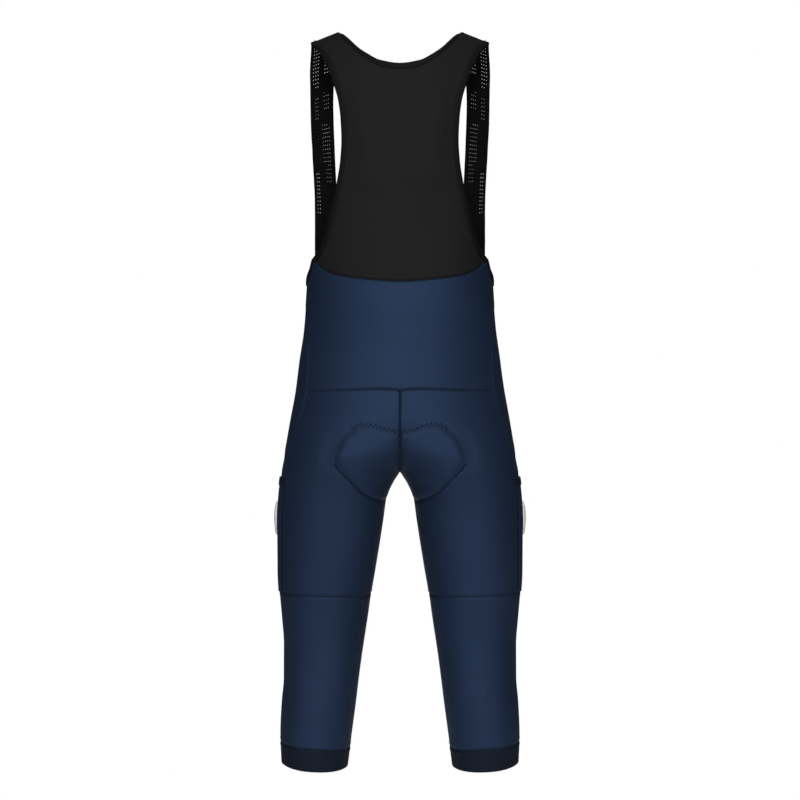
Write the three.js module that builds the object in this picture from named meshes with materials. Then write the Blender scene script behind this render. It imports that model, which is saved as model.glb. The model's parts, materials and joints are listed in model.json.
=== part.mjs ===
// Bib knickers, filled out as they are worn, with no wearer.
// Millimetres, +Z up. The back faces -Y and the front faces +Y.
// The origin lies midway between the places where the shoulders hold the garment.
import * as THREE from 'three';

// Cloth thicknesses and seams
const CLOTH = 1.2;
const STRAP_CLOTH = 1.4;
const CUFF_CLOTH = 1.6;
const BINDING_CLOTH = 1.0;
const POCKET_CLOTH = 1.2;
const POCKET_HEM_CLOTH = 2.0;
const TAB_CLOTH = 2.0;
const PAD_DEPTH = 6.0;
const BINDING_WIDTH = 8;
const SEAM_GAP = 0.3;
const PAD_GAP = 0.9;

// Heights of the main lines
const CROTCH_Z = -617;
const CROTCH_CURVE_HEIGHT = 85;
const CROTCH_EASE = 0.08;
const CUFF_SEAM_Z = -997;
const HEM_Z = -1028;
const YOKE_SEAM_CENTRE_Z = -500;
const YOKE_SEAM_SIDE_Z = -504;
const THIGH_SEAM_INNER_Z = -788;
const THIGH_SEAM_OUTER_Z = -777;

// Shoulders: the top line slopes down and out from the neck corner
const NECK_CORNER_X = 89;
const SHOULDER_OUTER_X = 125.4;
const SHOULDER_SLOPE = 0.39;
const SHOULDER_ROUND = 75;

// The bib's lower corner, behind the side
const BIB_CORNER_ANGLE = -25;
const BIB_CORNER_X = 120;
const BIB_CORNER_Z = -319.5;

// Roundness of a level section: 2 is an ellipse, more is squarer
const SECTION_POWER = 2.25;

// One row for each level of the filled-out garment:
// half breadth, inner edge of the leg, and how far back and front lie from the origin's plane.
const BODY_LEVELS = [
  { z: 20, out: 150, inner: 0, back: 62, front: 50 },
  { z: -50, out: 152, inner: 0, back: 78, front: 78 },
  { z: -100, out: 152, inner: 0, back: 91, front: 97 },
  { z: -150, out: 150, inner: 0, back: 95, front: 106 },
  { z: -200, out: 145, inner: 0, back: 92, front: 107 },
  { z: -250, out: 138, inner: 0, back: 85, front: 104 },
  { z: -300, out: 132, inner: 0, back: 80, front: 100 },
  { z: -345, out: 131, inner: 0, back: 80, front: 98 },
  { z: -375, out: 132.4, inner: 0, back: 83, front: 99 },
  { z: -417, out: 135.3, inner: 0, back: 92, front: 102 },
  { z: -459, out: 141, inner: 0, back: 103, front: 103 },
  { z: -502, out: 146.5, inner: 0, back: 113, front: 102 },
  { z: -544, out: 153.6, inner: 0, back: 119, front: 98 },
  { z: -586, out: 160.6, inner: 0, back: 117, front: 91 },
  { z: CROTCH_Z, out: 165.3, inner: 0, back: 109, front: 84 },
  { z: -620, out: 165.6, inner: 4.5, back: 108, front: 83 },
  { z: -631, out: 166.8, inner: 11.3, back: 104, front: 82 },
  { z: -648, out: 168.6, inner: 19.7, back: 99, front: 80 },
  { z: -659, out: 169.4, inner: 22.5, back: 96, front: 79 },
  { z: -685, out: 170.4, inner: 27.5, back: 91, front: 78 },
  { z: -755, out: 170.4, inner: 38, back: 80, front: 77 },
  { z: -786, out: 169, inner: 42.3, back: 75, front: 76 },
  { z: -820, out: 166.3, inner: 46.5, back: 68, front: 72 },
  { z: -860, out: 163.4, inner: 52.8, back: 63, front: 64 },
  { z: -905, out: 163.4, inner: 59.2, back: 62, front: 56 },
  { z: -938, out: 166, inner: 63.4, back: 63, front: 51 },
  { z: -981, out: 167.7, inner: 69, back: 61, front: 46 },
  { z: HEM_Z, out: 166, inner: 74, back: 57, front: 42 },
];

// Axis of each leg: how far out it lies at each height
const LEG_AXIS = [
  { z: CROTCH_Z, out: 82.65 },
  { z: -685, out: 98.9 },
  { z: -755, out: 104.2 },
  { z: -820, out: 106.4 },
  { z: -905, out: 111.3 },
  { z: -981, out: 118.4 },
  { z: HEM_Z, out: 120 },
];

// Armhole edge of the back bib: how far out it lies at each height, from the shoulder to the side.
const BIB_ARMHOLE = [
  { z: -14, out: SHOULDER_OUTER_X },
  { z: -22, out: 122 },
  { z: -33, out: 112 },
  { z: -55, out: 100.3 },
  { z: -82, out: 90.8 },
  { z: -108, out: 83.4 },
  { z: -135, out: 80 },
  { z: -162, out: 78.9 },
  { z: -189, out: 80.6 },
  { z: -214, out: 84.6 },
  { z: -263, out: 96.2 },
  { z: -296, out: 105.5 },
  { z: -310, out: 112.5 },
  { z: BIB_CORNER_Z, out: BIB_CORNER_X },
];

// Back neckline
const NECKLINE = [
  { x: 0, z: -59 },
  { x: 27, z: -54.5 },
  { x: 45, z: -44.5 },
  { x: 57, z: -35 },
  { x: 75, z: -14.6 },
  { x: NECK_CORNER_X, z: 0 },
];

// Top edge of the navy cloth, by the angle from the side: negative is behind, positive in front.
// The bib is sewn to it behind its corner, and the strap is sewn on from 22.5 to 52.5 degrees.
const NAVY_TOP = [
  { angle: -90, z: -353.5 },
  { angle: -73, z: -350.6 },
  { angle: -50, z: -343.5 },
  { angle: -34, z: -332 },
  { angle: BIB_CORNER_ANGLE, z: BIB_CORNER_Z },
  { angle: -17.7, z: -334 },
  { angle: 0, z: -346 },
  { angle: 12, z: -333 },
  { angle: 22.5, z: -309 },
  { angle: 52.5, z: -315 },
  { angle: 70, z: -333 },
  { angle: 90, z: -342 },
];

// Side seam, by the angle from the side at each height
const SIDE_SEAM = [
  { z: -345, angle: 0 },
  { z: -375, angle: -3 },
  { z: -405, angle: -21 },
  { z: -502, angle: -31 },
  { z: -565, angle: -26 },
  { z: -640, angle: -26 },
  { z: -788, angle: -27 },
];

// Inner and outer edge of the front strap at each distance below the shoulder line
const STRAP_EDGES = [
  { drop: 0, inner: NECK_CORNER_X, outer: SHOULDER_OUTER_X },
  { drop: 40, inner: 94, outer: 129 },
  { drop: 90, inner: 97, outer: 129 },
  { drop: 150, inner: 95.5, outer: 126.5 },
  { drop: 220, inner: 92, outer: 123 },
  { drop: 313, inner: 84.5, outer: 122 },
];

// Edge of the seat pad: how far out it lies at each height
const PAD_OUTLINE = [
  { z: -552, out: 52 },
  { z: -560, out: 72 },
  { z: -571, out: 81 },
  { z: -588, out: 87.5 },
  { z: -601, out: 87.5 },
  { z: -609, out: 83.5 },
  { z: -625, out: 67.3 },
  { z: -640, out: 52.5 },
  { z: -650, out: 36 },
];

// Grid steps
const YOKE_COLUMNS = 18;
const SEAT_COLUMNS = 12;
const FRONT_COLUMNS = 12;
const FRONT_ANGLE_STEP = 90 / FRONT_COLUMNS;
const BIB_COLUMNS = 13;
const NECK_CORNER_COLUMN = 8;
const SHOULDER_ROWS = 7;
const LOWER_BIB_ROWS = 8;
const NECK_BINDING_ROWS = 2;
const STRAP_FIRST_COLUMN = 3;
const STRAP_LAST_COLUMN = 7;
const WAIST_ROWS = 6;
const TOP_BAND_SHARE = 0.055;
const HIP_ROWS = 8;
const THIGH_ROWS = 8;
const LEG_COLUMNS = 24;
const LEG_ROWS = 8;
const CUFF_ROWS = 2;
const ARMHOLE_CORNER_STEPS = 8;
const PAD_COLUMNS = 6;
const PAD_ROWS = 8;

// Where the pocket and its tab lie on the front panel's grid
const POCKET_COLUMNS = 6;
const POCKET_HEM_ROW = HIP_ROWS + WAIST_ROWS + 1;
const POCKET_MOUTH_ROW = HIP_ROWS + WAIST_ROWS + 2;
const TAB_FIRST_COLUMN = 1.1;
const TAB_LAST_COLUMN = 3.1;
const TAB_FIRST_ROW = POCKET_MOUTH_ROW + 1.3;
const TAB_LAST_ROW = POCKET_MOUTH_ROW + 3.4;
const TAB_STEPS = 4;

// Colours and finishes
const FINISHES = {
  navy: { color: 0x1c2942, roughness: 0.55, metalness: 0 },
  bib: { color: 0x202124, roughness: 0.75, metalness: 0 },
  strap: { color: 0x0e0f10, roughness: 0.85, metalness: 0 },
  binding: { color: 0x0b0c0e, roughness: 0.7, metalness: 0 },
  cuff: { color: 0x161c2c, roughness: 0.65, metalness: 0 },
  tab: { color: 0xc8c8cd, roughness: 0.4, metalness: 0 },
  pad: { color: 0x2a2d33, roughness: 0.9, metalness: 0 },
};

const toRadians = (degrees) => (degrees * Math.PI) / 180;
const mix = (from, to, share) => from + (to - from) * share;
const clamp = (value, low, high) => Math.min(high, Math.max(low, value));

// Reads a column of a table at any value of its key, along a smooth curve without overshoot.
function readTable(table, key, column, value) {
  const rising = table[table.length - 1][key] > table[0][key];
  const before = (row) => (rising ? row[key] <= value : row[key] >= value);
  let index = 0;
  while (index < table.length - 2 && before(table[index + 1])) {
    index += 1;
  }
  const slope = (i) => (table[i + 1][column] - table[i][column]) / (table[i + 1][key] - table[i][key]);
  const tangent = (i) => {
    if (i === 0) return slope(0);
    if (i === table.length - 1) return slope(i - 1);
    const product = slope(i - 1) * slope(i);
    return product <= 0 ? 0 : (2 * product) / (slope(i - 1) + slope(i));
  };
  const start = table[index];
  const end = table[index + 1];
  const width = end[key] - start[key];
  const share = clamp((value - start[key]) / width, 0, 1);
  const square = share * share;
  const cube = square * share;
  return (
    (2 * cube - 3 * square + 1) * start[column] +
    (cube - 2 * square + share) * width * tangent(index) +
    (3 * square - 2 * cube) * end[column] +
    (cube - square) * width * tangent(index + 1)
  );
}

// The level section of one half. Above the crotch the two halves run together,
// and below it each is a closed loop round its own leg.
function sectionAt(z) {
  const out = readTable(BODY_LEVELS, 'z', 'out', z);
  const inner = z < CROTCH_Z ? readTable(BODY_LEVELS, 'z', 'inner', z) : 0;
  const back = readTable(BODY_LEVELS, 'z', 'back', z);
  const front = readTable(BODY_LEVELS, 'z', 'front', z);
  const rise = clamp((z - CROTCH_Z) / CROTCH_CURVE_HEIGHT, 0, 1);
  const easedRise = ((1 + CROTCH_EASE) * rise ** 2) / (rise + CROTCH_EASE);
  const parting = (1 - easedRise) ** 1.5;
  const axis = z < CROTCH_Z ? readTable(LEG_AXIS, 'z', 'out', z) : (out * parting) / (1 + parting);
  const outerHalf = out - axis;
  return {
    axis,
    outerHalf,
    innerHalf: z < CROTCH_Z ? axis - inner : outerHalf,
    centreY: (front - back) / 2,
    depth: (front + back) / 2,
    endAngle: 180 - THREE.MathUtils.radToDeg(Math.acos(parting ** (SECTION_POWER / 2))),
  };
}

const sectionPower = (value) => Math.sign(value) * Math.abs(value) ** (2 / SECTION_POWER);

// A point of the filled-out form, by the angle from the side and the height
function bodyPoint(angle, z) {
  const section = sectionAt(z);
  const reach = Math.abs(angle) > 90 ? section.innerHalf : section.outerHalf;
  const x = section.axis + reach * sectionPower(Math.cos(toRadians(angle)));
  const y = section.centreY + section.depth * sectionPower(Math.sin(toRadians(angle)));
  return new THREE.Vector3(Math.max(x, 0), y, z);
}

// The angle at which the form has a given half breadth, above the legs
function angleAt(x, z) {
  const share = clamp(x / sectionAt(z).outerHalf, 0, 1);
  return THREE.MathUtils.radToDeg(Math.acos(share ** (SECTION_POWER / 2)));
}

const shoulderZ = (x) => CLOTH - SHOULDER_SLOPE * (x - NECK_CORNER_X);
const navyTop = (angle) => readTable(NAVY_TOP, 'angle', 'z', angle);
const sideSeamAngle = (z) => readTable(SIDE_SEAM, 'z', 'angle', z);

// A point above the waist, rounded over the shoulder towards the shoulder line
function upperPoint(x, z, facing) {
  const point = bodyPoint(facing * angleAt(x, z), z);
  const share = clamp((shoulderZ(x) - z) / SHOULDER_ROUND, 0, 1);
  point.x = x;
  point.y *= Math.sqrt(1 - (1 - share) ** 2);
  return point;
}

// Distance below the shoulder line of each row of the bib and of the straps
function rowDrop(row, length) {
  if (row <= SHOULDER_ROWS) {
    return SHOULDER_ROUND * (1 - Math.cos(((row / SHOULDER_ROWS) * Math.PI) / 2));
  }
  return mix(SHOULDER_ROUND, length, (row - SHOULDER_ROWS) / LOWER_BIB_ROWS);
}

// Share of the height between the navy top edge and the yoke seam
function waistShare(row) {
  if (row <= 1) {
    return TOP_BAND_SHARE * row;
  }
  return mix(TOP_BAND_SHARE, 1, (row - 1) / (WAIST_ROWS - 1));
}

// Height at the centre line, and its change towards the side, of each row below the yoke seam
function legRow(row) {
  if (row <= HIP_ROWS) {
    const share = (1 - row / HIP_ROWS) ** 2;
    return {
      centre: mix(CROTCH_Z, YOKE_SEAM_CENTRE_Z, share),
      rise: (YOKE_SEAM_SIDE_Z - YOKE_SEAM_CENTRE_Z) * share,
    };
  }
  const share = ((row - HIP_ROWS) / THIGH_ROWS) ** 1.6;
  return {
    centre: mix(CROTCH_Z, THIGH_SEAM_INNER_Z, share),
    rise: (THIGH_SEAM_OUTER_Z - THIGH_SEAM_INNER_Z) * share * 0.5,
  };
}

const sideRowZ = (row) => legRow(row).centre + legRow(row).rise;

// Share of the bib's half breadth, so that one column meets the neck corner
function bibSpread(column) {
  const neckShare = NECK_CORNER_X / SHOULDER_OUTER_X;
  if (column <= NECK_CORNER_COLUMN) {
    return (neckShare * column) / NECK_CORNER_COLUMN;
  }
  return mix(neckShare, 1, (column - NECK_CORNER_COLUMN) / (BIB_COLUMNS - NECK_CORNER_COLUMN));
}

// Back bib, by column out from the centre and row down from the top edge
function bibPoint(column, row) {
  const spread = bibSpread(Math.abs(column));
  const length = shoulderZ(SHOULDER_OUTER_X) - BIB_CORNER_Z;
  const drop = rowDrop(row, length);
  const edge = readTable(BIB_ARMHOLE, 'z', 'out', shoulderZ(SHOULDER_OUTER_X) - drop);
  const topX = SHOULDER_OUTER_X * spread;
  const topZ = topX < NECK_CORNER_X ? readTable(NECKLINE, 'x', 'z', topX) + CLOTH : shoulderZ(topX);
  const bottomZ = navyTop(-angleAt(BIB_CORNER_X * spread, BIB_CORNER_Z));
  const z = mix(topZ, bottomZ, drop / length);
  const point = upperPoint(edge * spread, z, -1);
  point.x *= Math.sign(column);
  return point;
}

// Front strap, by column out from the neck side and row down from the shoulder line
function strapPoint(column, row) {
  const share = column / (STRAP_LAST_COLUMN - STRAP_FIRST_COLUMN);
  const footAngle = FRONT_ANGLE_STEP * mix(STRAP_LAST_COLUMN, STRAP_FIRST_COLUMN, share);
  const footZ = navyTop(footAngle);
  const topX = mix(NECK_CORNER_X, SHOULDER_OUTER_X, share);
  const topZ = shoulderZ(topX);
  const drop = rowDrop(row, topZ - footZ);
  const inner = readTable(STRAP_EDGES, 'drop', 'inner', drop);
  const outer = readTable(STRAP_EDGES, 'drop', 'outer', drop);
  return upperPoint(mix(inner, outer, share), topZ - drop, 1);
}

// Share of the way round from the centre back to the side, with the yoke's columns in line with the bib's
function yokeSpread(column) {
  const cornerShare = 1 + BIB_CORNER_ANGLE / 90;
  if (column <= BIB_COLUMNS) {
    return 1 - angleAt(BIB_CORNER_X * bibSpread(column), BIB_CORNER_Z) / 90;
  }
  return mix(cornerShare, 1, (column - BIB_COLUMNS) / (YOKE_COLUMNS - BIB_COLUMNS));
}

// Back yoke, by column out from the centre and row down from its top edge
function yokePoint(column, row) {
  const share = yokeSpread(Math.abs(column));
  const top = navyTop(-90 + 90 * share);
  const bottom = mix(YOKE_SEAM_CENTRE_Z, YOKE_SEAM_SIDE_Z, share);
  const z = mix(top, bottom, waistShare(row));
  const point = bodyPoint(mix(-90, sideSeamAngle(z), share), z);
  point.x *= Math.sign(column);
  return point;
}

// Seat panel, by column out from the centre seam and row down from the yoke seam
function seatPoint(column, row) {
  const share = column / SEAT_COLUMNS;
  const { centre, rise } = legRow(row);
  const z = centre + rise * share;
  return bodyPoint(mix(-sectionAt(z).endAngle, sideSeamAngle(z), share), z);
}

// Front panel, by column from the side seam to the centre and row down from its top edge
function frontPoint(column, row) {
  const share = column / FRONT_COLUMNS;
  if (row <= WAIST_ROWS) {
    const bottom = mix(YOKE_SEAM_SIDE_Z, YOKE_SEAM_CENTRE_Z, share);
    const z = mix(navyTop(90 * share), bottom, waistShare(row));
    return bodyPoint(mix(sideSeamAngle(z), 90, share), z);
  }
  const { centre, rise } = legRow(row - WAIST_ROWS);
  const z = centre + rise * (1 - share);
  return bodyPoint(mix(sideSeamAngle(z), sectionAt(z).endAngle, share), z);
}

// Height of the thigh seam round the leg, from its outer side to the inseam
function thighSeamZ(angle) {
  const sideAngle = sideSeamAngle(THIGH_SEAM_INNER_Z);
  const side = sideRowZ(HIP_ROWS + THIGH_ROWS);
  const reach = angle < sideAngle ? (angle + 180) / (sideAngle + 180) : (180 - angle) / (180 - sideAngle);
  return mix(THIGH_SEAM_INNER_Z, side, reach);
}

const loopAngle = (column) => sideSeamAngle(THIGH_SEAM_INNER_Z) + (360 * column) / LEG_COLUMNS;
const wrapAngle = (angle) => (angle > 180 ? angle - 360 : angle);

// Lower leg tube and cuff, by column round the leg and row down from the upper seam
function lowerLegPoint(column, row) {
  const angle = wrapAngle(loopAngle(column));
  return bodyPoint(angle, mix(thighSeamZ(angle), CUFF_SEAM_Z, row / LEG_ROWS));
}

function cuffPoint(column, row) {
  return bodyPoint(loopAngle(column), mix(CUFF_SEAM_Z, HEM_Z, row / CUFF_ROWS));
}

// Seat pad, by column out from the centre seam and row down
function padPoint(column, row) {
  const first = PAD_OUTLINE[0].z;
  const last = PAD_OUTLINE[PAD_OUTLINE.length - 1].z;
  const z = mix(first, last, row / PAD_ROWS);
  const section = sectionAt(z);
  const reach = readTable(PAD_OUTLINE, 'z', 'out', z) - section.axis;
  const edge = reach / (reach < 0 ? section.innerHalf : section.outerHalf);
  const corner = Math.sign(edge) * Math.abs(edge) ** (SECTION_POWER / 2);
  const edgeAngle = -THREE.MathUtils.radToDeg(Math.acos(clamp(corner, -1, 1)));
  return bodyPoint(mix(-section.endAngle, edgeAngle, column / PAD_COLUMNS), z);
}

// One station of a wall: a point of the surface and the direction out of it.
// Slopes are taken inside the panel's own grid.
function station(surface, column, row, limits) {
  const step = 0.04;
  const left = Math.max(column - step, limits.firstColumn);
  const right = Math.min(column + step, limits.lastColumn);
  const above = Math.max(row - step, limits.firstRow);
  const below = Math.min(row + step, limits.lastRow);
  const across = surface(right, row).sub(surface(left, row));
  const down = surface(column, below).sub(surface(column, above));
  return { point: surface(column, row), normal: across.cross(down).normalize() };
}

// Stations of a grid, row by row. The direction out of the form is set by the outward side.
function stationGrid(surface, limits, columnCount, rowCount, outward) {
  const grid = [];
  for (let i = 0; i <= rowCount; i += 1) {
    const row = mix(limits.firstRow, limits.lastRow, i / rowCount);
    const line = [];
    for (let j = 0; j <= columnCount; j += 1) {
      const column = mix(limits.firstColumn, limits.lastColumn, j / columnCount);
      const place = station(surface, column, row, limits);
      place.normal.multiplyScalar(outward);
      line.push(place);
    }
    grid.push(line);
  }
  return grid;
}

const mirrored = (vector) => new THREE.Vector3(-vector.x, vector.y, vector.z);
const mirroredStation = (place) => ({ point: mirrored(place.point), normal: mirrored(place.normal) });
const mirroredGrid = (grid) => grid.map((line) => line.map(mirroredStation));

// Moves the end points of each line inwards by half a seam gap.
function easeEnds(line) {
  const eased = line.map((point) => point.clone());
  const last = line.length - 1;
  const pull = (end, inside) => {
    const direction = line[inside].clone().sub(line[end]).normalize();
    eased[end].addScaledVector(direction, SEAM_GAP / 2);
  };
  pull(0, 1);
  pull(last, last - 1);
  return eased;
}

const transposed = (grid) => grid[0].map((_, j) => grid.map((line) => line[j]));

// Outer and inner points of a wall, with its edges eased back from the seams
function wallPoints(grid, distance, isLoop, side) {
  const moved = grid.map((line) =>
    line.map(({ point, normal }) => point.clone().addScaledVector(normal, distance)));
  const acrossEased = isLoop ? moved : moved.map(easeEnds);
  const eased = transposed(transposed(acrossEased).map(easeEnds));
  for (const point of eased.flat()) {
    if (side !== 0) {
      point.x = side * Math.max(side * point.x, SEAM_GAP / 2);
    }
  }
  return eased;
}

// A closed wall of cloth between two copies of a grid of stations.
// lift is the distance of its outer face from the grid, and side is 0 for a piece on both sides.
function clothWall(grid, thickness, { lift = 0, isLoop = false, side = 0 } = {}) {
  const faces = [
    wallPoints(grid, lift, isLoop, side),
    wallPoints(grid, lift - thickness, isLoop, side),
  ];
  const rows = grid.length;
  const columns = grid[0].length;
  const positions = faces.flat(2).flatMap((point) => point.toArray());
  const vertex = (layer, i, j) => layer * rows * columns + i * columns + (j % columns);
  const triangles = [];
  const quad = (a, b, c, d) => triangles.push(a, b, c, a, c, d);
  const isLeftOfCentre = (j) => side === 0 && j < (columns - 1) / 2;
  const face = (j, a, b, c, d) => (isLeftOfCentre(j) ? quad(b, c, d, a) : quad(a, b, c, d));
  const lastColumn = isLoop ? columns : columns - 1;
  for (let i = 0; i < rows - 1; i += 1) {
    for (let j = 0; j < lastColumn; j += 1) {
      face(j, vertex(0, i, j), vertex(0, i + 1, j), vertex(0, i + 1, j + 1), vertex(0, i, j + 1));
      face(j, vertex(1, i, j), vertex(1, i, j + 1), vertex(1, i + 1, j + 1), vertex(1, i + 1, j));
    }
  }
  for (let j = 0; j < lastColumn; j += 1) {
    quad(vertex(0, 0, j), vertex(0, 0, j + 1), vertex(1, 0, j + 1), vertex(1, 0, j));
    const last = rows - 1;
    quad(vertex(0, last, j), vertex(1, last, j), vertex(1, last, j + 1), vertex(0, last, j + 1));
  }
  for (let i = 0; i < rows - 1 && !isLoop; i += 1) {
    quad(vertex(0, i, 0), vertex(1, i, 0), vertex(1, i + 1, 0), vertex(0, i + 1, 0));
    const j = columns - 1;
    quad(vertex(0, i, j), vertex(0, i + 1, j), vertex(1, i + 1, j), vertex(1, i, j));
  }
  return facingOut(positions, triangles);
}

// Makes the geometry, with its faces turned to point out of the solid.
function facingOut(positions, triangles) {
  const corner = (index) => new THREE.Vector3().fromArray(positions, 3 * index);
  let volume = 0;
  for (let i = 0; i < triangles.length; i += 3) {
    const [a, b, c] = triangles.slice(i, i + 3).map(corner);
    volume += a.dot(b.cross(c));
  }
  const turned = volume > 0 ? triangles : triangles.slice().reverse();
  const geometry = new THREE.BufferGeometry();
  geometry.setAttribute('position', new THREE.Float32BufferAttribute(positions, 3));
  geometry.setIndex(turned);
  return geometry;
}

const garment = new THREE.Group();

function addPiece(name, finish, geometry) {
  const mesh = new THREE.Mesh(geometry, new THREE.MeshStandardMaterial(FINISHES[finish]));
  mesh.name = name;
  garment.add(mesh);
}

// Adds a piece and its mirror image. The right side of the back view is at +X.
function addPair(name, finish, grid, thickness, options = {}) {
  addPiece(`${name}_right`, finish, clothWall(grid, thickness, { ...options, side: 1 }));
  addPiece(`${name}_left`, finish, clothWall(mirroredGrid(grid), thickness, { ...options, side: -1 }));
}

const span = (firstColumn, lastColumn, firstRow, lastRow) => ({ firstColumn, lastColumn, firstRow, lastRow });

function addBibAndYoke() {
  const bibRows = SHOULDER_ROWS + LOWER_BIB_ROWS;
  const bib = stationGrid(
    bibPoint, span(-BIB_COLUMNS, BIB_COLUMNS, 0, bibRows), 2 * BIB_COLUMNS, bibRows, -1);
  addPiece('bib_back', 'bib', clothWall(bib, CLOTH));
  const yoke = stationGrid(
    yokePoint, span(-YOKE_COLUMNS, YOKE_COLUMNS, 0, WAIST_ROWS), 2 * YOKE_COLUMNS, WAIST_ROWS, -1);
  addPiece('back_yoke', 'navy', clothWall(yoke, CLOTH));
  return bib;
}

function addStraps() {
  const columns = STRAP_LAST_COLUMN - STRAP_FIRST_COLUMN;
  const rows = SHOULDER_ROWS + LOWER_BIB_ROWS;
  const strap = stationGrid(strapPoint, span(0, columns, 0, rows), columns, rows, 1);
  addPair('strap', 'strap', strap, STRAP_CLOTH);
}

function addLowerPanels() {
  const seatRows = HIP_ROWS + THIGH_ROWS;
  const seat = stationGrid(seatPoint, span(0, SEAT_COLUMNS, 0, seatRows), SEAT_COLUMNS, seatRows, -1);
  addPair('seat', 'navy', seat, CLOTH);
  const frontRows = WAIST_ROWS + seatRows;
  const front = stationGrid(
    frontPoint, span(0, FRONT_COLUMNS, 0, frontRows), FRONT_COLUMNS, frontRows, -1);
  addPair('front', 'navy', front, CLOTH);
  return front;
}

// Tubes share their first and last column, so the last one is left out.
function loopGrid(surface, rowCount) {
  const grid = stationGrid(surface, span(0, LEG_COLUMNS, 0, rowCount), LEG_COLUMNS, rowCount, -1);
  return grid.map((line) => line.slice(0, -1));
}

function addLegs() {
  addPair('lower_leg', 'navy', loopGrid(lowerLegPoint, LEG_ROWS), CLOTH, { isLoop: true });
  addPair('cuff', 'cuff', loopGrid(cuffPoint, CUFF_ROWS), CUFF_CLOTH, { isLoop: true });
}

// The neck binding lies on the bib's top rows, between the shoulder lines.
function addNeckBinding(bib) {
  const first = BIB_COLUMNS - NECK_CORNER_COLUMN;
  const last = BIB_COLUMNS + NECK_CORNER_COLUMN;
  const band = bib.slice(0, NECK_BINDING_ROWS + 1).map((line) => line.slice(first, last + 1));
  addPiece('neck_binding', 'binding', clothWall(band, BINDING_CLOTH, { lift: SEAM_GAP + BINDING_CLOTH }));
}

// The top band of a panel, as crosswise stations from its edge inwards
const topBand = (grid, columns) => columns.map((j) => [grid[0][j], grid[1][j]]);

const countTo = (first, last) => {
  const step = Math.sign(last - first);
  return Array.from({ length: Math.abs(last - first) + 1 }, (_, i) => first + i * step);
};

function outwardStation(surface, column, row, limits) {
  const found = station(surface, column, row, limits);
  found.normal.negate();
  return found;
}

// The column of the bib that lies one binding width inside its armhole edge
function bindingColumn(row) {
  const edge = bibPoint(BIB_COLUMNS, row);
  let column = BIB_COLUMNS;
  while (bibPoint(column, row).distanceTo(edge) < BINDING_WIDTH) {
    column -= 0.02;
  }
  return column;
}

// Crosswise stations down the bib's armhole edge
function armholeOfBib() {
  const rows = SHOULDER_ROWS + LOWER_BIB_ROWS;
  const limits = span(0, BIB_COLUMNS, 0, rows);
  return countTo(0, rows).map((row) => [
    outwardStation(bibPoint, BIB_COLUMNS, row, limits),
    outwardStation(bibPoint, bindingColumn(row), row, limits),
  ]);
}

// Stations from the bib's lower corner to the side: the inner edge turns the corner more slowly.
function armholeOfYoke() {
  const limits = span(0, YOKE_COLUMNS, 0, WAIST_ROWS);
  const firstInside = bindingColumn(SHOULDER_ROWS + LOWER_BIB_ROWS);
  return countTo(1, ARMHOLE_CORNER_STEPS).map((step) => {
    const share = step / (ARMHOLE_CORNER_STEPS + 1);
    const insideColumn = mix(firstInside, YOKE_COLUMNS, share);
    return [
      outwardStation(yokePoint, mix(BIB_COLUMNS, YOKE_COLUMNS, share), 0, limits),
      outwardStation(yokePoint, insideColumn, Math.min(1, step / 2), limits),
    ];
  });
}

// Each armhole binding runs from the shoulder down the bib, under the arm and up to the strap.
function addArmholeBindings(front) {
  const binding = { lift: SEAM_GAP + BINDING_CLOTH };
  const alongFront = topBand(front, countTo(0, STRAP_FIRST_COLUMN));
  const band = [...armholeOfBib(), ...armholeOfYoke(), ...alongFront];
  addPair('armhole_binding', 'binding', band, BINDING_CLOTH, binding);
}

// The front binding runs between the straps, over the centre front.
function addFrontBinding(front) {
  const right = topBand(front, countTo(STRAP_LAST_COLUMN, FRONT_COLUMNS));
  const left = right.slice(0, -1).reverse().map((line) => line.map(mirroredStation));
  const band = clothWall([...right, ...left], BINDING_CLOTH, { lift: SEAM_GAP + BINDING_CLOTH });
  addPiece('front_binding', 'binding', band);
}

function addPockets(front) {
  const part = (firstRow, lastRow) =>
    front.slice(firstRow, lastRow + 1).map((line) => line.slice(0, POCKET_COLUMNS + 1));
  const lastRow = WAIST_ROWS + HIP_ROWS + THIGH_ROWS;
  const pocketLift = SEAM_GAP + POCKET_CLOTH;
  addPair('pocket', 'navy', part(POCKET_MOUTH_ROW, lastRow), POCKET_CLOTH, { lift: pocketLift });
  const hemLift = SEAM_GAP + POCKET_HEM_CLOTH;
  addPair('pocket_hem', 'cuff', part(POCKET_HEM_ROW, POCKET_MOUTH_ROW), POCKET_HEM_CLOTH, { lift: hemLift });
  const tabSpan = span(TAB_FIRST_COLUMN, TAB_LAST_COLUMN, TAB_FIRST_ROW, TAB_LAST_ROW);
  const tab = stationGrid(frontPoint, tabSpan, TAB_STEPS, TAB_STEPS, -1);
  addPair('reflective_tab', 'tab', tab, TAB_CLOTH, { lift: pocketLift + SEAM_GAP + TAB_CLOTH });
}

function addPad() {
  const pad = stationGrid(padPoint, span(0, PAD_COLUMNS, 0, PAD_ROWS), PAD_COLUMNS, PAD_ROWS, -1);
  addPair('seat_pad', 'pad', pad, PAD_DEPTH, { lift: -CLOTH - PAD_GAP });
}

const bibGrid = addBibAndYoke();
addStraps();
const frontGrid = addLowerPanels();
addLegs();
addNeckBinding(bibGrid);
addArmholeBindings(frontGrid);
addFrontBinding(frontGrid);
addPockets(frontGrid);
addPad();

export default garment;
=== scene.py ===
# Bib knickers seen from behind, filled out as worn, on a plain pale floor.
# Sizes are in millimetres and are turned to metres where a mesh is made.
# The back faces -Y, and the origin lies midway between the shoulders.
import json
import math

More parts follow.
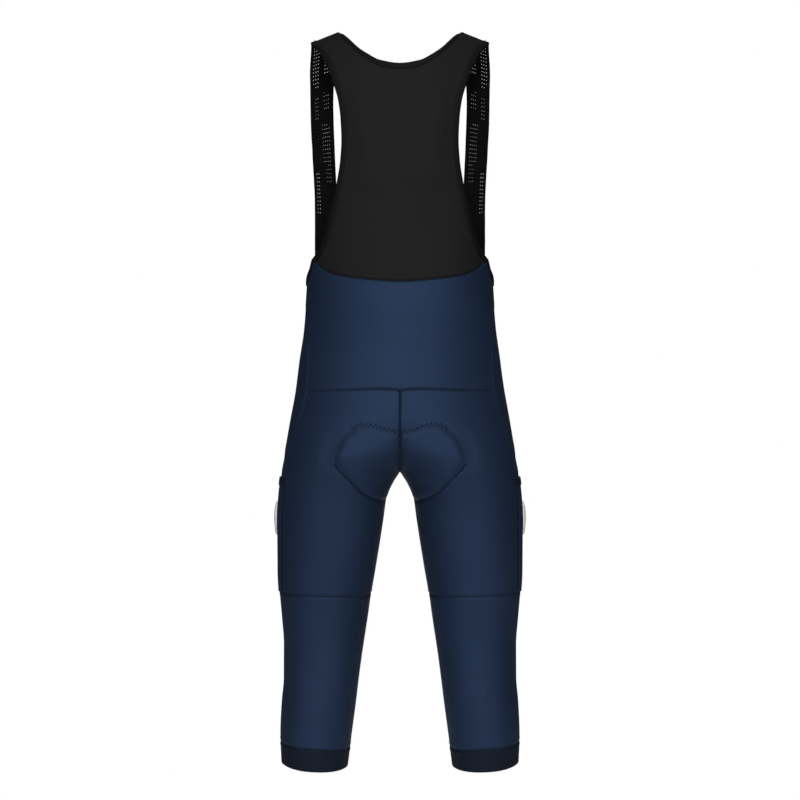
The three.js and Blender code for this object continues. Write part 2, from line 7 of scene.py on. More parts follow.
import bpy
import numpy as np
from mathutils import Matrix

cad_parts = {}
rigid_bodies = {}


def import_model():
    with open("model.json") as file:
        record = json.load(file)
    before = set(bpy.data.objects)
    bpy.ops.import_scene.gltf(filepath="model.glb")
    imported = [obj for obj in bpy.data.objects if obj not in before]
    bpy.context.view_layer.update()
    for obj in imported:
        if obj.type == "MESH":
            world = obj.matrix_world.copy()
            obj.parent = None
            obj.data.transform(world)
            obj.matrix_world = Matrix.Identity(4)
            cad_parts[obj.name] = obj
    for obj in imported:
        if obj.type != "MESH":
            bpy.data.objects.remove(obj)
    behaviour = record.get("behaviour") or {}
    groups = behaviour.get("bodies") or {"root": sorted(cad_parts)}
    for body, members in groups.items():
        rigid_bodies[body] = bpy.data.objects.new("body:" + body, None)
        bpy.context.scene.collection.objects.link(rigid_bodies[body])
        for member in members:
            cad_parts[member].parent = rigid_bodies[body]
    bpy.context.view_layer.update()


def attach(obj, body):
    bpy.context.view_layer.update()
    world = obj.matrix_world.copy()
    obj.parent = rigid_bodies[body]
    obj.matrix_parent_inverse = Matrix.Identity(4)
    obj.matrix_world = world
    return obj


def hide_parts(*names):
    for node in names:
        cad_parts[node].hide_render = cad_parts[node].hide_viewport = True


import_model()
MM = 0.001

# Sides of the wearer, and which way each lies along X
SIDES = (("right", 1), ("left", -1))

# Cloth and seams
CLOTH = 1.2
STRAP_CLOTH = 0.7
CUFF_CLOTH = 1.6
BINDING_CLOTH = 1.1
BINDING_WIDTH = 8.0
BINDING_WRAP = 0.5
POCKET_CLOTH = 1.1
POCKET_HEM_CLOTH = 1.6
TAB_CLOTH = 1.8
PAD_DEPTH = 5.6
PAD_GAP = 1.0
LAYER_GAP = 0.35
SEAM_HALF_GAP = 0.1

# Heights of the main lines
CROTCH_Z = -617.0
CROTCH_CURVE_HEIGHT = 85.0
CROTCH_EASE = 0.08
CUFF_SEAM_Z = -997.0
HEM_Z = -1028.0
CUFF_SEAM_TILT = 4.5
HEM_TILT = 3.0
HEM_RISE = 3.0
PARTING_POWER = 1.5
THIGH_ROW_POWER = 1.6
THIGH_RISE_SHARE = 0.5
YOKE_SEAM_CENTRE_Z = -500.0
YOKE_SEAM_SIDE_Z = -504.0
THIGH_SEAM_INNER_Z = -788.0
THIGH_SEAM_OUTER_Z = -777.0

# Shoulders
NECK_CORNER_X = 89.0
SHOULDER_OUTER_X = 125.4
SHOULDER_SLOPE = 0.39
SHOULDER_ROUND = 75.0

# The bib's lower corner, behind the side
BIB_CORNER_ANGLE = -25.0
BIB_CORNER_X = 120.0
BIB_CORNER_Z = -319.5

# Roundness of a level section: 2 is an ellipse, more is squarer
SECTION_POWER = 2.25

# Level, half breadth, inner edge of the leg, depth behind and in front
BODY_LEVELS = (
    (20, 150, 0, 62, 50),
    (-50, 152, 0, 78, 78),
    (-100, 152, 0, 91, 97),
    (-150, 150, 0, 95, 106),
    (-200, 145, 0, 92, 107),
    (-250, 138, 0, 85, 104),
    (-300, 132, 0, 80, 100),
    (-345, 131, 0, 80, 98),
    (-375, 132.4, 0, 83, 99),
    (-417, 135.3, 0, 92, 102),
    (-459, 141, 0, 103, 103),
    (-502, 146.5, 0, 113, 102),
    (-544, 153.6, 0, 119, 98),
    (-586, 160.6, 0, 117, 91),
    (CROTCH_Z, 165.3, 0, 109, 84),
    (-620, 165.6, 4.5, 108, 83),
    (-631, 166.8, 11.3, 104, 82),
    (-648, 168.6, 18.6, 99, 80),
    (-659, 169.4, 20.5, 96, 79),
    (-685, 170.4, 24.0, 91, 78),
    (-755, 170.4, 35.1, 80, 77),
    (-786, 169, 40.5, 75, 76),
    (-820, 166.3, 45.3, 68, 72),
    (-860, 163.4, 51.3, 63, 64),
    (-905, 163.4, 57.3, 62, 56),
    (-938, 166, 61.5, 63, 51),
    (-981, 167.7, 67.1, 61, 46),
    (HEM_Z, 166, 73.2, 57, 42),
)
OUT, INNER, BACK, FRONT = 1, 2, 3, 4

# Level and how far out the axis of each leg lies
LEG_AXIS = (
    (CROTCH_Z, 82.65), (-685, 98.9), (-755, 104.2), (-820, 106.4), (-905, 111.3), (-981, 118.4),
    (HEM_Z, 120),
)

# Level and how far out the bib's armhole edge lies
BIB_ARMHOLE = (
    (-14, SHOULDER_OUTER_X), (-22, 122), (-33, 112), (-55, 100.3), (-82, 90.8), (-108, 83.4), (-135, 80),
    (-162, 78.9), (-189, 80.6), (-214, 84.6), (-263, 96.2), (-296, 105.5), (-310, 112.5),
    (BIB_CORNER_Z, BIB_CORNER_X),
)

# Distance from the centre and level of the back neckline
NECKLINE = ((-27, -54.5), (0, -59), (27, -54.5), (45, -44.5), (57, -35), (75, -14.6), (NECK_CORNER_X, 0))

# Angle from the side and level of the navy cloth's top edge
NAVY_TOP = (
    (-107, -350.6), (-90, -353.5), (-73, -350.6), (-50, -343.5), (-34, -332),
    (BIB_CORNER_ANGLE, BIB_CORNER_Z), (-17.7, -334), (0, -346), (12, -333), (22.5, -309), (52.5, -315),
    (70, -333), (90, -342), (110, -333),
)

# Level and angle from the side of the side seam
SIDE_SEAM = ((-345, 0), (-375, -3), (-405, -21), (-502, -31), (-565, -26), (-640, -26), (-788, -27))

# Distance below the shoulder line, inner and outer edge of the front strap
STRAP_EDGES = (
    (0, NECK_CORNER_X, SHOULDER_OUTER_X), (40, 94, 129), (90, 97, 129), (150, 95.5, 126.5), (220, 92, 123),
    (313, 84.5, 122),
)

# Level and how far out the edge of the seat pad lies
PAD_OUTLINE = (
    (-552, 52), (-560, 72), (-571, 81), (-588, 87.5), (-601, 87.5), (-609, 83.5), (-625, 67.3),
    (-640, 52.5), (-650, 36),
)

# Grid of the solids, which the shells refine
YOKE_COLUMNS = 18
SEAT_COLUMNS = 12
FRONT_COLUMNS = 12
BIB_COLUMNS = 13
NECK_CORNER_COLUMN = 8
SHOULDER_ROWS = 7
LOWER_BIB_ROWS = 8
STRAP_COLUMNS = 4
STRAP_FOOT_ANGLES = (52.5, 22.5)
WAIST_ROWS = 6
TOP_BAND_SHARE = 0.055
HIP_ROWS = 8
THIGH_ROWS = 8
POCKET_COLUMNS = 6
POCKET_MOUTH_ROW = WAIST_ROWS + HIP_ROWS + 2
FRONT_ROWS = WAIST_ROWS + HIP_ROWS + THIGH_ROWS
BIB_ROWS = SHOULDER_ROWS + LOWER_BIB_ROWS

STRAP_FIRST_COLUMN = 3
STRAP_LAST_COLUMN = 7
NECK_BINDING_ROW = 2
TAB_COLUMNS = (1.1, 3.1)
TAB_ROWS = (POCKET_MOUTH_ROW + 1.3, POCKET_MOUTH_ROW + 3.4)
TAB_CORNER = 0.34
TAB_CORNER_DOWN = 0.5
TAB_CORNER_POWER = 6
TAB_CROWN = 3.1
TAB_CROWN_ACROSS = 0.5
TAB_CROWN_DOWN = 0.8

# Share of a grid's cell over which slopes are taken
SLOPE_STEP = 0.3

# Columns and rows of the sheets' own finer grids
BIB_GRID = (150, 112)
YOKE_GRID = (170, 84)
SEAT_GRID = (96, 140)
FRONT_GRID = (104, 168)
LOWER_LEG_GRID = (168, 96)
CUFF_GRID = (480, 18)
POCKET_GRID = (48, 70)
POCKET_HEM_GRID = (48, 16)
TAB_GRID = (26, 40)
PAD_GRID = (40, 46)
NEAR_CENTRE_COLUMN = 0.01
GUIDE_COLUMN = 6
STRAP_GUIDE_COLUMN = 2
STRAP_STEPS = 120
ROW_SAMPLES = 400

# Folded bindings
BINDING_END = 0.15
BINDING_TAPER = 14.0
BINDING_BULGE = 0.25
BINDING_RISE = 0.15
BINDING_INNER_LEG = 0.92
BINDING_STITCH_AT = 0.72
BINDING_STITCH_LIFT = 0.2
ARMHOLE_FIRST_ROW = 0.5
ARMHOLE_EDGE_COLUMN = BIB_COLUMNS - 0.04
ARMHOLE_GUIDE_COLUMN = BIB_COLUMNS - 0.03
ARMHOLE_ROWS = 130
CORNER_STEPS = 28
SIDE_STATIONS = 26
NECK_STATIONS = 121
FRONT_STATIONS = 60
FOLD_TURNS = (35, 70, 110, 145)
LEG_STEPS = 6
CORNER_FAN = 4.5
NECK_BINDING_COLUMNS = 7.5
NECK_SHIFT = 0.04
EDGE_SHIFT = 0.05
NORMAL_STEP = 0.03
WALK_STEP = 0.02
WALK_LIMIT = 400

SEAM_DIP = 3.0
SEAM_DIP_SHARE = 0.05
SEAM_DIP_POWER = 3

# Relief
RIM_BULGE = 0.4
CENTRE_REACH = 0.3
DRIFT_WAVES = 7
DRIFT_LENGTHS = (0.7, 1.6)
DRIFT_START = 6.28
EDGE_CALM = 12.0
SEAM_GROOVE = 1.1
SEAM_GROOVE_WIDTH = 2.2
SEAM_RIDGE = 0.6
SEAM_RIDGE_AT = 3.6
SEAM_RIDGE_WIDTH = 1.7
POCKET_SWELL = 0.2
POCKET_SWELL_START = 0.8
POCKET_SWELL_ROUND = 0.8
POCKET_LIFT = 0.2
POCKET_GROOVE = 0.5
POCKET_GROOVE_AT = 3
POCKET_GROOVE_WIDTH = 1.2
UNDER_SHARE = 0.6
HEM_ROLL = 0.7
HEM_ROUND = 0.6
TAB_GROOVE = 0.25
TAB_GROOVE_AT = 2.2
TAB_GROOVE_WIDTH = 0.7
CUFF_RIB = 0.16
CUFF_RIBS = 96
CUFF_RIB_FADE = 4
CREASE_POINTS = 9
CREASE_SAG = 3.0
CREASE_TAPER = 0.7
CREASE_LIP = 0.45
CREASE_LIP_AT = 1.9

# Slow swells of the cloth: seed, height and length
BIB_SWELL = (3, 0.3, 60)
YOKE_SWELL = (4, 0.3, 80)
SEAT_SWELL = (5, 0.35, 70)
FRONT_SWELL = (6, 0.35, 70)
LOWER_LEG_SWELL = (7, 0.35, 70)
CUFF_SWELL = (8, 0.15, 70)
STRAP_SWELL = (12, 0.25, 24)

# Creases: from angle and level, to angle and level, width, depth, and side (0 for both)
CREASES = (
    (176, -642, 118, -604, 7, 0.9, 0),
    (178, -668, 132, -643, 6, 0.7, 1),
    (177, -702, 138, -688, 8, 0.6, -1),
    (58, -516, 98, -583, 9, 0.8, 0),
    (38, -561, 84, -604, 8, 0.6, 1),
    (30, -379, 74, -389, 10, 0.6, 0),
    (12, -402, 56, -410, 9, 0.5, -1),
    (-18, -592, 22, -604, 8, 0.6, 0),
    (-152, -902, -64, -896, 8, 0.4, 0),
    (-128, -934, -72, -926, 7, 0.35, 1),
    (-172, -874, -118, -888, 8, 0.5, -1),
    (48, -917, 122, -905, 11, 0.8, 0),
    (62, -948, 112, -939, 9, 0.7, 1),
    (128, -882, 168, -870, 9, 0.6, -1),
    (-176, -664, -140, -700, 7, 0.6, 0),
    (-66.2, -147, -70.3, -160, 2.2, 0.5, 0),
    (-71, -40, -75, -236, 15, -1.8, 0),
    (-58, -214, -80, -246, 9, 0.5, 0),
)

# Outline of the seat pad in the back view: distance from the centre and level
PAD_EDGE = (
    (0, -558.7), (11.7, -558), (22.4, -556), (36, -550.7), (52, -549.4), (60.4, -552.2), (71.3, -560.4),
    (81, -571.3), (88, -589), (88, -601.3), (83.7, -609.3), (75.4, -617.9), (67.2, -626), (52.2, -641.5),
    (38.6, -650.5), (25, -656), (5, -661),
)
PAD_STITCH = PAD_EDGE[:6] + ((66, -556),)
CROTCH_SMOOTHING = 120
CROTCH_SMOOTHING_STEP = 0.5
NORMALS_EASE = 4
CLEFT_FILL = 9.0
CLEFT_WIDTH = 62
CLEFT_TOP_Z = -562
CLEFT_FOOT_Z = -785
CLEFT_FOOT_FADE = 110
CLEFT_TOP_FADE = 45
CLEFT_ROUND = 1.3
CLEFT_FACING = 1.2
CROTCH_REACH = 55.0
CROTCH_SPREAD = 26.0
CROTCH_FULL_REACH = 0.2
CROTCH_FULL_SPREAD = 0.3
PAD_SIDE_Z = -600.0
PAD_SIDE_FADE = 22
PAD_SHOULDER_Z = -566.0
PAD_SHOULDER_FADE = 12
PAD_BEHIND_Y = -5
PAD_BEHIND_FADE = 25
PAD_PUFF = 2.2
PAD_PUFF_WIDTH = 10.0
PAD_GROOVE = 1.9
PAD_GROOVE_WIDTH = 2.3
PAD_GROOVE_ABOVE = 0.12
PAD_HOLLOW = 1.3
PAD_HOLLOW_AT = 8
PAD_HOLLOW_WIDTH = 9.5
PAD_RIM_DROP = 2.0
PAD_DROP_WIDTH = 10
PAD_EDGE_DEPTH = 1.6
PAD_EDGE_WIDTH = 14
PAD_CHANNEL_AT = 24.0
PAD_CHANNEL_WIDTH = 3.0
PAD_CHANNEL_DEPTH = 2.6
PAD_CENTRE_GAP = 0.3

# Holes of the straps: share across, level, and size; elsewhere the mesh is nearly closed
STRAP_WIDTH = 36.0
STRAP_LENGTH = 330.0
STRAP_BORDER = 3.2
STRAP_BORDER_RISE = 0.3
STRAP_REACH = 0.45
STRAP_HOLES_ACROSS = 9
STRAP_HOLES_DOWN = 58
STRAP_HOLE_RADIUS = 0.95
STRAP_HOLE_STRETCH = 1.4
STRAP_CLOSED_HOLE = 0.18
STRAP_PLAIN_CELLS = 2
STRAP_HOLES = (
    (0.62, 0.90, -66, -6, 0.6),
    (0.18, 0.45, -46, -22, 0.58),
    (0.18, 0.45, -95, -70, 0.42),
    (0.60, 0.86, -113, -80, 0.48),
    (0.18, 0.58, -174, -115, 0.45),
    (0.16, 0.44, -201, -179, 0.42),
    (0.74, 0.90, -247, -187, 0.66),
)

# Thread radii, and pitch, height and reach of the stitches
SEAM_THREAD = 0.3
EDGE_THREAD = 0.16
PAD_THREAD = 0.42
PATH_STEP = 0.3
FLATLOCK_WIDTH = 4.6
FLATLOCK_NARROW = 4.2
FLATLOCK_PITCH = 1.9
FLATLOCK_SLANT = 0.9
FLATLOCK_HEIGHT = 0.75
FLATLOCK_DROOP = 0.55
DROOP_POWER = 4
RUN_PITCH = 2.6
RUN_FILL = 0.68
RUN_HEIGHT = 0.22
RUN_SINK = 0.1
PAD_STITCH_HEIGHT = 0.45
PAD_STITCH_STEP = 1.2
NEAREST_POINTS = 4
NEAREST_EASE = 0.05
SEAT_CROTCH_SHARE = 0.47
FRONT_SEAM_SHARES = {"first": 0.02, "last": 0.55}
YOKE_SIDE_START = 0.06
BIB_SEAM_SHARES = {"first": 0.03, "last": 0.97}

# Columns and rows of the sheets' own grids that are sewn along
STRAP_STITCH_COLUMNS = (1, -2)
POCKET_STITCH_COLUMNS = (4, -5)
HEM_STITCH_ROWS = (3, -4)
CUFF_STITCH_ROW = -4
TAB_STITCH_LINES = (2, -3)

# Zigzag rows round the seat pad: line, width and pitch
ZIGZAGS = ((PAD_STITCH, 7.0, 3.0), (PAD_EDGE[9:-1], 2.4, 1.5))

# Sheets: name, width, length and area of the cut in metres, how it is held and what it is sewn to.
# SIDE stands for right and left in turn, and OTHER for the side across.
SHEETS = (
    ("bib_back_cloth", 0.376, 0.397, 0.065, "stretched",
     "back_yoke_cloth strap_right_mesh strap_left_mesh neck_binding_strip "
     "armhole_binding_right_strip armhole_binding_left_strip"),
    ("back_yoke_cloth", 0.390, 0.198, 0.0497, "stretched",
     "bib_back_cloth seat_right_cloth seat_left_cloth front_right_cloth front_left_cloth"),
    ("seat_SIDE_cloth", 0.241, 0.364, 0.0558, "stretched",
     "back_yoke_cloth seat_OTHER_cloth front_SIDE_cloth lower_leg_SIDE_cloth seat_pad_SIDE_foam"),
    ("front_SIDE_cloth", 0.312, 0.505, 0.1205, "stretched",
     "back_yoke_cloth seat_SIDE_cloth front_OTHER_cloth lower_leg_SIDE_cloth strap_SIDE_mesh"),
    ("lower_leg_SIDE_cloth", 0.444, 0.216, 0.0785, "stretched",
     "seat_SIDE_cloth front_SIDE_cloth cuff_SIDE_cloth"),
    ("cuff_SIDE_cloth", 0.330, 0.0315, 0.0100, "stretched", "lower_leg_SIDE_cloth"),
    ("strap_SIDE_mesh", 0.052, 0.353, 0.0138, "stretched", "bib_back_cloth front_SIDE_cloth"),
    ("neck_binding_strip", 0.0170, 0.235, 0.0038, "folded", "bib_back_cloth"),
    ("armhole_binding_SIDE_strip", 0.0185, 0.491, 0.0088, "folded", "bib_back_cloth back_yoke_cloth"),
    ("front_binding_strip", 0.0215, 0.185, 0.0039, "folded", "front_right_cloth front_left_cloth"),
    ("pocket_SIDE_cloth", 0.165, 0.151, 0.0220, "stretched", "front_SIDE_cloth pocket_hem_SIDE_strip"),
    ("pocket_hem_SIDE_strip", 0.170, 0.0126, 0.0021, "stretched", "front_SIDE_cloth pocket_SIDE_cloth"),
    ("reflective_tab_SIDE_strip", 0.062, 0.052, 0.0030, "laid", "pocket_SIDE_cloth"),
)

# Materials: name, dark and light colour, roughness, weave, pitch, bump, sheen, specular, and gloss if any
MATERIALS = (
    ("navy_knit", (0.016, 0.031, 0.067), (0.023, 0.0425, 0.0905), 0.66, "knit", 0.55, 0.22, 0.01, 0.08, 0.65),
    ("bib_knit", (0.0104, 0.0106, 0.0109), (0.0144, 0.0146, 0.015), 0.7, "knit", 0.5, 0.22, 0.01, 0.06, 0.12),
    ("strap_mesh", (0.0016, 0.0019, 0.0019), (0.0034, 0.0038, 0.0038), 0.62, "weave", 0.7, 0.35, 0.01, 0.1),
    ("binding", (0.003, 0.0031, 0.0036), (0.0062, 0.0064, 0.0072), 0.6, "rib", 0.9, 0.4, 0.01, 0.1),
    ("cuff_elastic", (0.004, 0.0065, 0.014), (0.0075, 0.011, 0.022), 0.6, "rib", 1.1, 0.35, 0.01, 0.1),
    ("reflective_tab", (0.74, 0.74, 0.77), (0.88, 0.88, 0.91), 0.42, "weave", 0.8, 0.3, 0.0, 0.6),
    ("pad_foam", (0.02, 0.023, 0.03), (0.04, 0.044, 0.052), 0.85, "weave", 1.2, 0.5, 0.15, 0.2),
    ("pad_thread", (0.0022, 0.0042, 0.012), (0.004, 0.007, 0.019), 0.5, "twist", 0.5, 0.3, 0.01, 0.12),
    ("navy_thread", (0.008, 0.014, 0.03), (0.013, 0.021, 0.042), 0.5, "twist", 0.5, 0.3, 0.01, 0.12),
    ("black_thread", (0.003, 0.003, 0.0033), (0.006, 0.006, 0.0066), 0.5, "twist", 0.5, 0.3, 0.01, 0.12),
)
CLOUD_SCALE, CLOUD_DETAIL, CLOUD_SHADE, CLOUD_ROUGHNESS = 6.0, 4, 0.9, 0.08
FIBRE_SCALE, FIBRE_DETAIL, FIBRE_SHADE, FIBRE_RELIEF = 900, 2, 0.18, 0.5
YARN_SHADE = 0.16
SHADE_RANGE = (0.25, 0.85)
WALE_SHARE, KNIT_COURSE = 0.65, 0.8
RIB_SHARE, RIB_COURSE = 0.7, 0.55
BUMP_DISTANCE = 0.0002
SHEEN_ROUGHNESS = 0.4

# Camera, light and floor, in metres
CAMERA_DISTANCE = 2.4
CAMERA_HEIGHT = -0.516
PICTURE_WIDTH = 1.1272
SENSOR_WIDTH = 36
CLIP_END = 50
WORLD_LIGHT = 0.015
WORLD_COLOR = (0.93, 0.96, 1.0, 1)
FLOOR_Z = -1.46
FLOOR_RADIUS = 1.5
FLOOR_CORNERS = 96
PAPER_DARK, PAPER_LIGHT = (0.86, 0.86, 0.86), (0.9, 0.9, 0.9)
PAPER_GRAIN, PAPER_ROUGHNESS = 40, 0.9
LIGHTS = (
    ("back_key", (0, -2.7, 0.45), (0, 0, -0.4), (1.0, 1.5), 68),
    ("front_key", (0, 2.7, 0.45), (0, 0, -0.4), (1.0, 1.5), 68),
    ("low_back_fill", (0, -2.7, -1.3), (0, 0, -0.6), (1.2, 0.6), 8),
    ("low_front_fill", (0, 2.7, -1.3), (0, 0, -0.6), (1.2, 0.6), 8),
    ("right_fill", (3.2, 0, -0.2), (0, 0, -0.5), (1.6, 2.4), 1.6),
    ("left_fill", (-3.2, 0, -0.2), (0, 0, -0.5), (1.6, 2.4), 1.6),
    ("top_fill", (0, 0, 2.6), (0, 0, -1.0), (2.4, 2.4), 16),
)


# Curves and tables

def mix(start, end, share):
    return start + (end - start) * share


def smooth(value):
    share = np.clip(value, 0.0, 1.0)
    return share * share * (3 - 2 * share)


def read_table(table, column, value):
    """Reads a column of a table at any values of its first column, along a smooth curve."""
    rows = np.array(table, float)
    if rows[-1, 0] < rows[0, 0]:
        rows = rows[::-1]
    keys, column_values = rows[:, 0], rows[:, column]
    slopes = np.diff(column_values) / np.diff(keys)
    tangents = np.zeros(len(keys))
    tangents[0], tangents[-1] = slopes[0], slopes[-1]
    product = slopes[:-1] * slopes[1:]
    total = slopes[:-1] + slopes[1:]
    tangents[1:-1] = np.where(product > 0, 2 * product / np.where(total == 0, 1, total), 0)
    value = np.clip(np.asarray(value, float), keys[0], keys[-1])
    index = np.clip(np.searchsorted(keys, value, side="right") - 1, 0, len(keys) - 2)
    width = keys[index + 1] - keys[index]
    share = (value - keys[index]) / width
    square, cube = share**2, share**3
    return (
        (2 * cube - 3 * square + 1) * column_values[index]
        + (cube - 2 * square + share) * width * tangents[index]
        + (3 * square - 2 * cube) * column_values[index + 1]
        + (cube - square) * width * tangents[index + 1]
    )


# The filled-out form. It is that of the solids, but for the legs' inner edges, which lie 1 to 3.5 mm
# nearer the centre, and the tilt of the cuffs' seams and hems.

def section_at(z):
    z = np.asarray(z, float)
    below = z < CROTCH_Z
    out = read_table(BODY_LEVELS, OUT, z)
    inner = np.where(below, read_table(BODY_LEVELS, INNER, z), 0)
    back = read_table(BODY_LEVELS, BACK, z)
    front = read_table(BODY_LEVELS, FRONT, z)
    rise = np.clip((z - CROTCH_Z) / CROTCH_CURVE_HEIGHT, 0, 1)
    eased = (1 + CROTCH_EASE) * rise**2 / (rise + CROTCH_EASE)
    parting = np.maximum(1 - eased, 0) ** PARTING_POWER
    axis = np.where(below, read_table(LEG_AXIS, 1, z), out * parting / (1 + parting))
    outer_half = out - axis
    return {
        "axis": axis,
        "outer_half": outer_half,
        "inner_half": np.where(below, axis - inner, outer_half),
        "centre_y": (front - back) / 2,
        "depth": (front + back) / 2,
        "end_angle": 180 - np.degrees(np.arccos(parting ** (SECTION_POWER / 2))),
    }


def section_power(value):
    return np.sign(value) * np.abs(value) ** (2 / SECTION_POWER)


def body_point(angle, z):
    angle, z = np.broadcast_arrays(np.asarray(angle, float), np.asarray(z, float))
    section = section_at(z)
    reach = np.where(np.abs(angle) > 90, section["inner_half"], section["outer_half"])
    x = section["axis"] + reach * section_power(np.cos(np.radians(angle)))
    y = section["centre_y"] + section["depth"] * section_power(np.sin(np.radians(angle)))
    return np.stack([np.maximum(x, 0), y, z], -1)


def angle_at(x, z):
    share = np.clip(x / section_at(z)["outer_half"], 0, 1)
    return np.degrees(np.arccos(share ** (SECTION_POWER / 2)))


def shoulder_z(x):
    return CLOTH - SHOULDER_SLOPE * (x - NECK_CORNER_X)


def navy_top(angle):
    return read_table(NAVY_TOP, 1, angle)


def side_seam_angle(z):
    return read_table(SIDE_SEAM, 1, z)


def upper_point(x, z, facing):
    """A point above the waist, rounded over the shoulder towards the shoulder line."""
    point = body_point(facing * angle_at(x, z), z)
    share = np.clip((shoulder_z(x) - z) / SHOULDER_ROUND, 0, 1)
    point[..., 0] = x
    point[..., 1] *= np.sqrt(1 - (1 - share) ** 2)
    return point


def row_drop(row, length):
    round_part = SHOULDER_ROUND * (1 - np.cos(np.minimum(row / SHOULDER_ROWS, 1) * math.pi / 2))
    lower_part = mix(SHOULDER_ROUND, length, (row - SHOULDER_ROWS) / LOWER_BIB_ROWS)
    return np.where(row <= SHOULDER_ROWS, round_part, lower_part)


def seam_dip(share):
    """The yoke seam drops a little where it meets the centre back seam."""
    return -SEAM_DIP * np.exp(-share / SEAM_DIP_SHARE)


def waist_share(row):
    lower = mix(TOP_BAND_SHARE, 1, (row - 1) / (WAIST_ROWS - 1))
    return np.where(row <= 1, TOP_BAND_SHARE * row, lower)


def leg_row(row):
    """Level at the centre line and its change towards the side, for rows below the yoke seam."""
    above = (1 - np.minimum(row / HIP_ROWS, 1)) ** 2
    below = np.maximum((row - HIP_ROWS) / THIGH_ROWS, 0) ** THIGH_ROW_POWER
    in_hip = row <= HIP_ROWS
    centre = np.where(
        in_hip,
        mix(CROTCH_Z, YOKE_SEAM_CENTRE_Z, above),
        mix(CROTCH_Z, THIGH_SEAM_INNER_Z, below),
    )
    rise = np.where(
        in_hip,
        (YOKE_SEAM_SIDE_Z - YOKE_SEAM_CENTRE_Z) * above,
        (THIGH_SEAM_OUTER_Z - THIGH_SEAM_INNER_Z) * below * THIGH_RISE_SHARE,
    )
    return centre, rise


# The panels, by column and row of the solids' own grid

def bib_spread(column):
    neck_share = NECK_CORNER_X / SHOULDER_OUTER_X
    outer = mix(neck_share, 1, (column - NECK_CORNER_COLUMN) / (BIB_COLUMNS - NECK_CORNER_COLUMN))
    return np.where(column <= NECK_CORNER_COLUMN, neck_share * column / NECK_CORNER_COLUMN, outer)


def bib_point(column, row):
    spread = bib_spread(np.abs(column))
    length = shoulder_z(SHOULDER_OUTER_X) - BIB_CORNER_Z
    drop = row_drop(row, length)
    edge = read_table(BIB_ARMHOLE, 1, shoulder_z(SHOULDER_OUTER_X) - drop)
    top_x = SHOULDER_OUTER_X * spread
    neck_z = read_table(NECKLINE, 1, top_x) + CLOTH
    top_z = np.where(top_x < NECK_CORNER_X, neck_z, shoulder_z(top_x))
    bottom_z = navy_top(-angle_at(BIB_CORNER_X * spread, BIB_CORNER_Z))
    point = upper_point(edge * spread, mix(top_z, bottom_z, drop / length), -1)
    point[..., 0] *= np.sign(column)
    return point


def strap_point(column, row):
    share = column / STRAP_COLUMNS
    foot_z = navy_top(mix(*STRAP_FOOT_ANGLES, share))
    top_x = mix(NECK_CORNER_X, SHOULDER_OUTER_X, share)
    top_z = shoulder_z(top_x)
    drop = row_drop(row, top_z - foot_z)
    inner = read_table(STRAP_EDGES, 1, drop)
    outer = read_table(STRAP_EDGES, 2, drop)
    return upper_point(mix(inner, outer, share), top_z - drop, 1)


def yoke_spread(column):
    corner_share = 1 + BIB_CORNER_ANGLE / 90
    inner = 1 - angle_at(BIB_CORNER_X * bib_spread(column), BIB_CORNER_Z) / 90
    outer = mix(corner_share, 1, (column - BIB_COLUMNS) / (YOKE_COLUMNS - BIB_COLUMNS))
    return np.where(column <= BIB_COLUMNS, inner, outer)


def yoke_point(column, row):
    share = yoke_spread(np.abs(column))
    top = navy_top(-90 + 90 * share)
    bottom = mix(YOKE_SEAM_CENTRE_Z, YOKE_SEAM_SIDE_Z, share) + seam_dip(share)
    z = mix(top, bottom, waist_share(row))
    point = body_point(mix(-90, side_seam_angle(z), share), z)
    point[..., 0] *= np.sign(column)
    return point


def seat_point(column, row):
    share = column / SEAT_COLUMNS
    centre, rise = leg_row(row)
    near_seam = np.maximum(1 - row / HIP_ROWS, 0) ** SEAM_DIP_POWER
    z = centre + rise * share + seam_dip(share) * near_seam
    return body_point(mix(-section_at(z)["end_angle"], side_seam_angle(z), share), z)


def front_point(column, row):
    share = column / FRONT_COLUMNS
    bottom = mix(YOKE_SEAM_SIDE_Z, YOKE_SEAM_CENTRE_Z, share)
    waist_z = mix(navy_top(90 * share), bottom, waist_share(row))
    centre, rise = leg_row(row - WAIST_ROWS)
    in_waist = row <= WAIST_ROWS
    z = np.where(in_waist, waist_z, centre + rise * (1 - share))
    end_angle = np.where(in_waist, 90, section_at(z)["end_angle"])
    return body_point(mix(side_seam_angle(z), end_angle, share), z)


def thigh_seam_z(angle):
    side_angle = side_seam_angle(THIGH_SEAM_INNER_Z)
    centre, rise = leg_row(np.array(HIP_ROWS + THIGH_ROWS))
    reach = np.where(
        angle < side_angle, (angle + 180) / (side_angle + 180), (180 - angle) / (180 - side_angle)
    )
    return mix(THIGH_SEAM_INNER_Z, centre + rise, reach)


def wrap_angle(turn):
    angle = side_seam_angle(THIGH_SEAM_INNER_Z) + 360 * turn
    return np.where(angle > 180, angle - 360, angle)


def cuff_seam_z(angle):
    """The cuff's seam, which lies a little higher at the outer side of the leg."""
    return CUFF_SEAM_Z + CUFF_SEAM_TILT * np.cos(np.radians(angle))


def hem_z(angle):
    """The hem rises towards the outer side of the leg, as the cuff's seam does."""
    outwards = np.cos(np.radians(angle))
    return HEM_Z + HEM_TILT * outwards + HEM_RISE * outwards**2


def lower_leg_point(turn, share):
    angle = wrap_angle(turn)
    return body_point(angle, mix(thigh_seam_z(angle), cuff_seam_z(angle), share))


def cuff_point(turn, share):
    angle = wrap_angle(turn)
    return body_point(angle, mix(cuff_seam_z(angle), hem_z(angle), share))


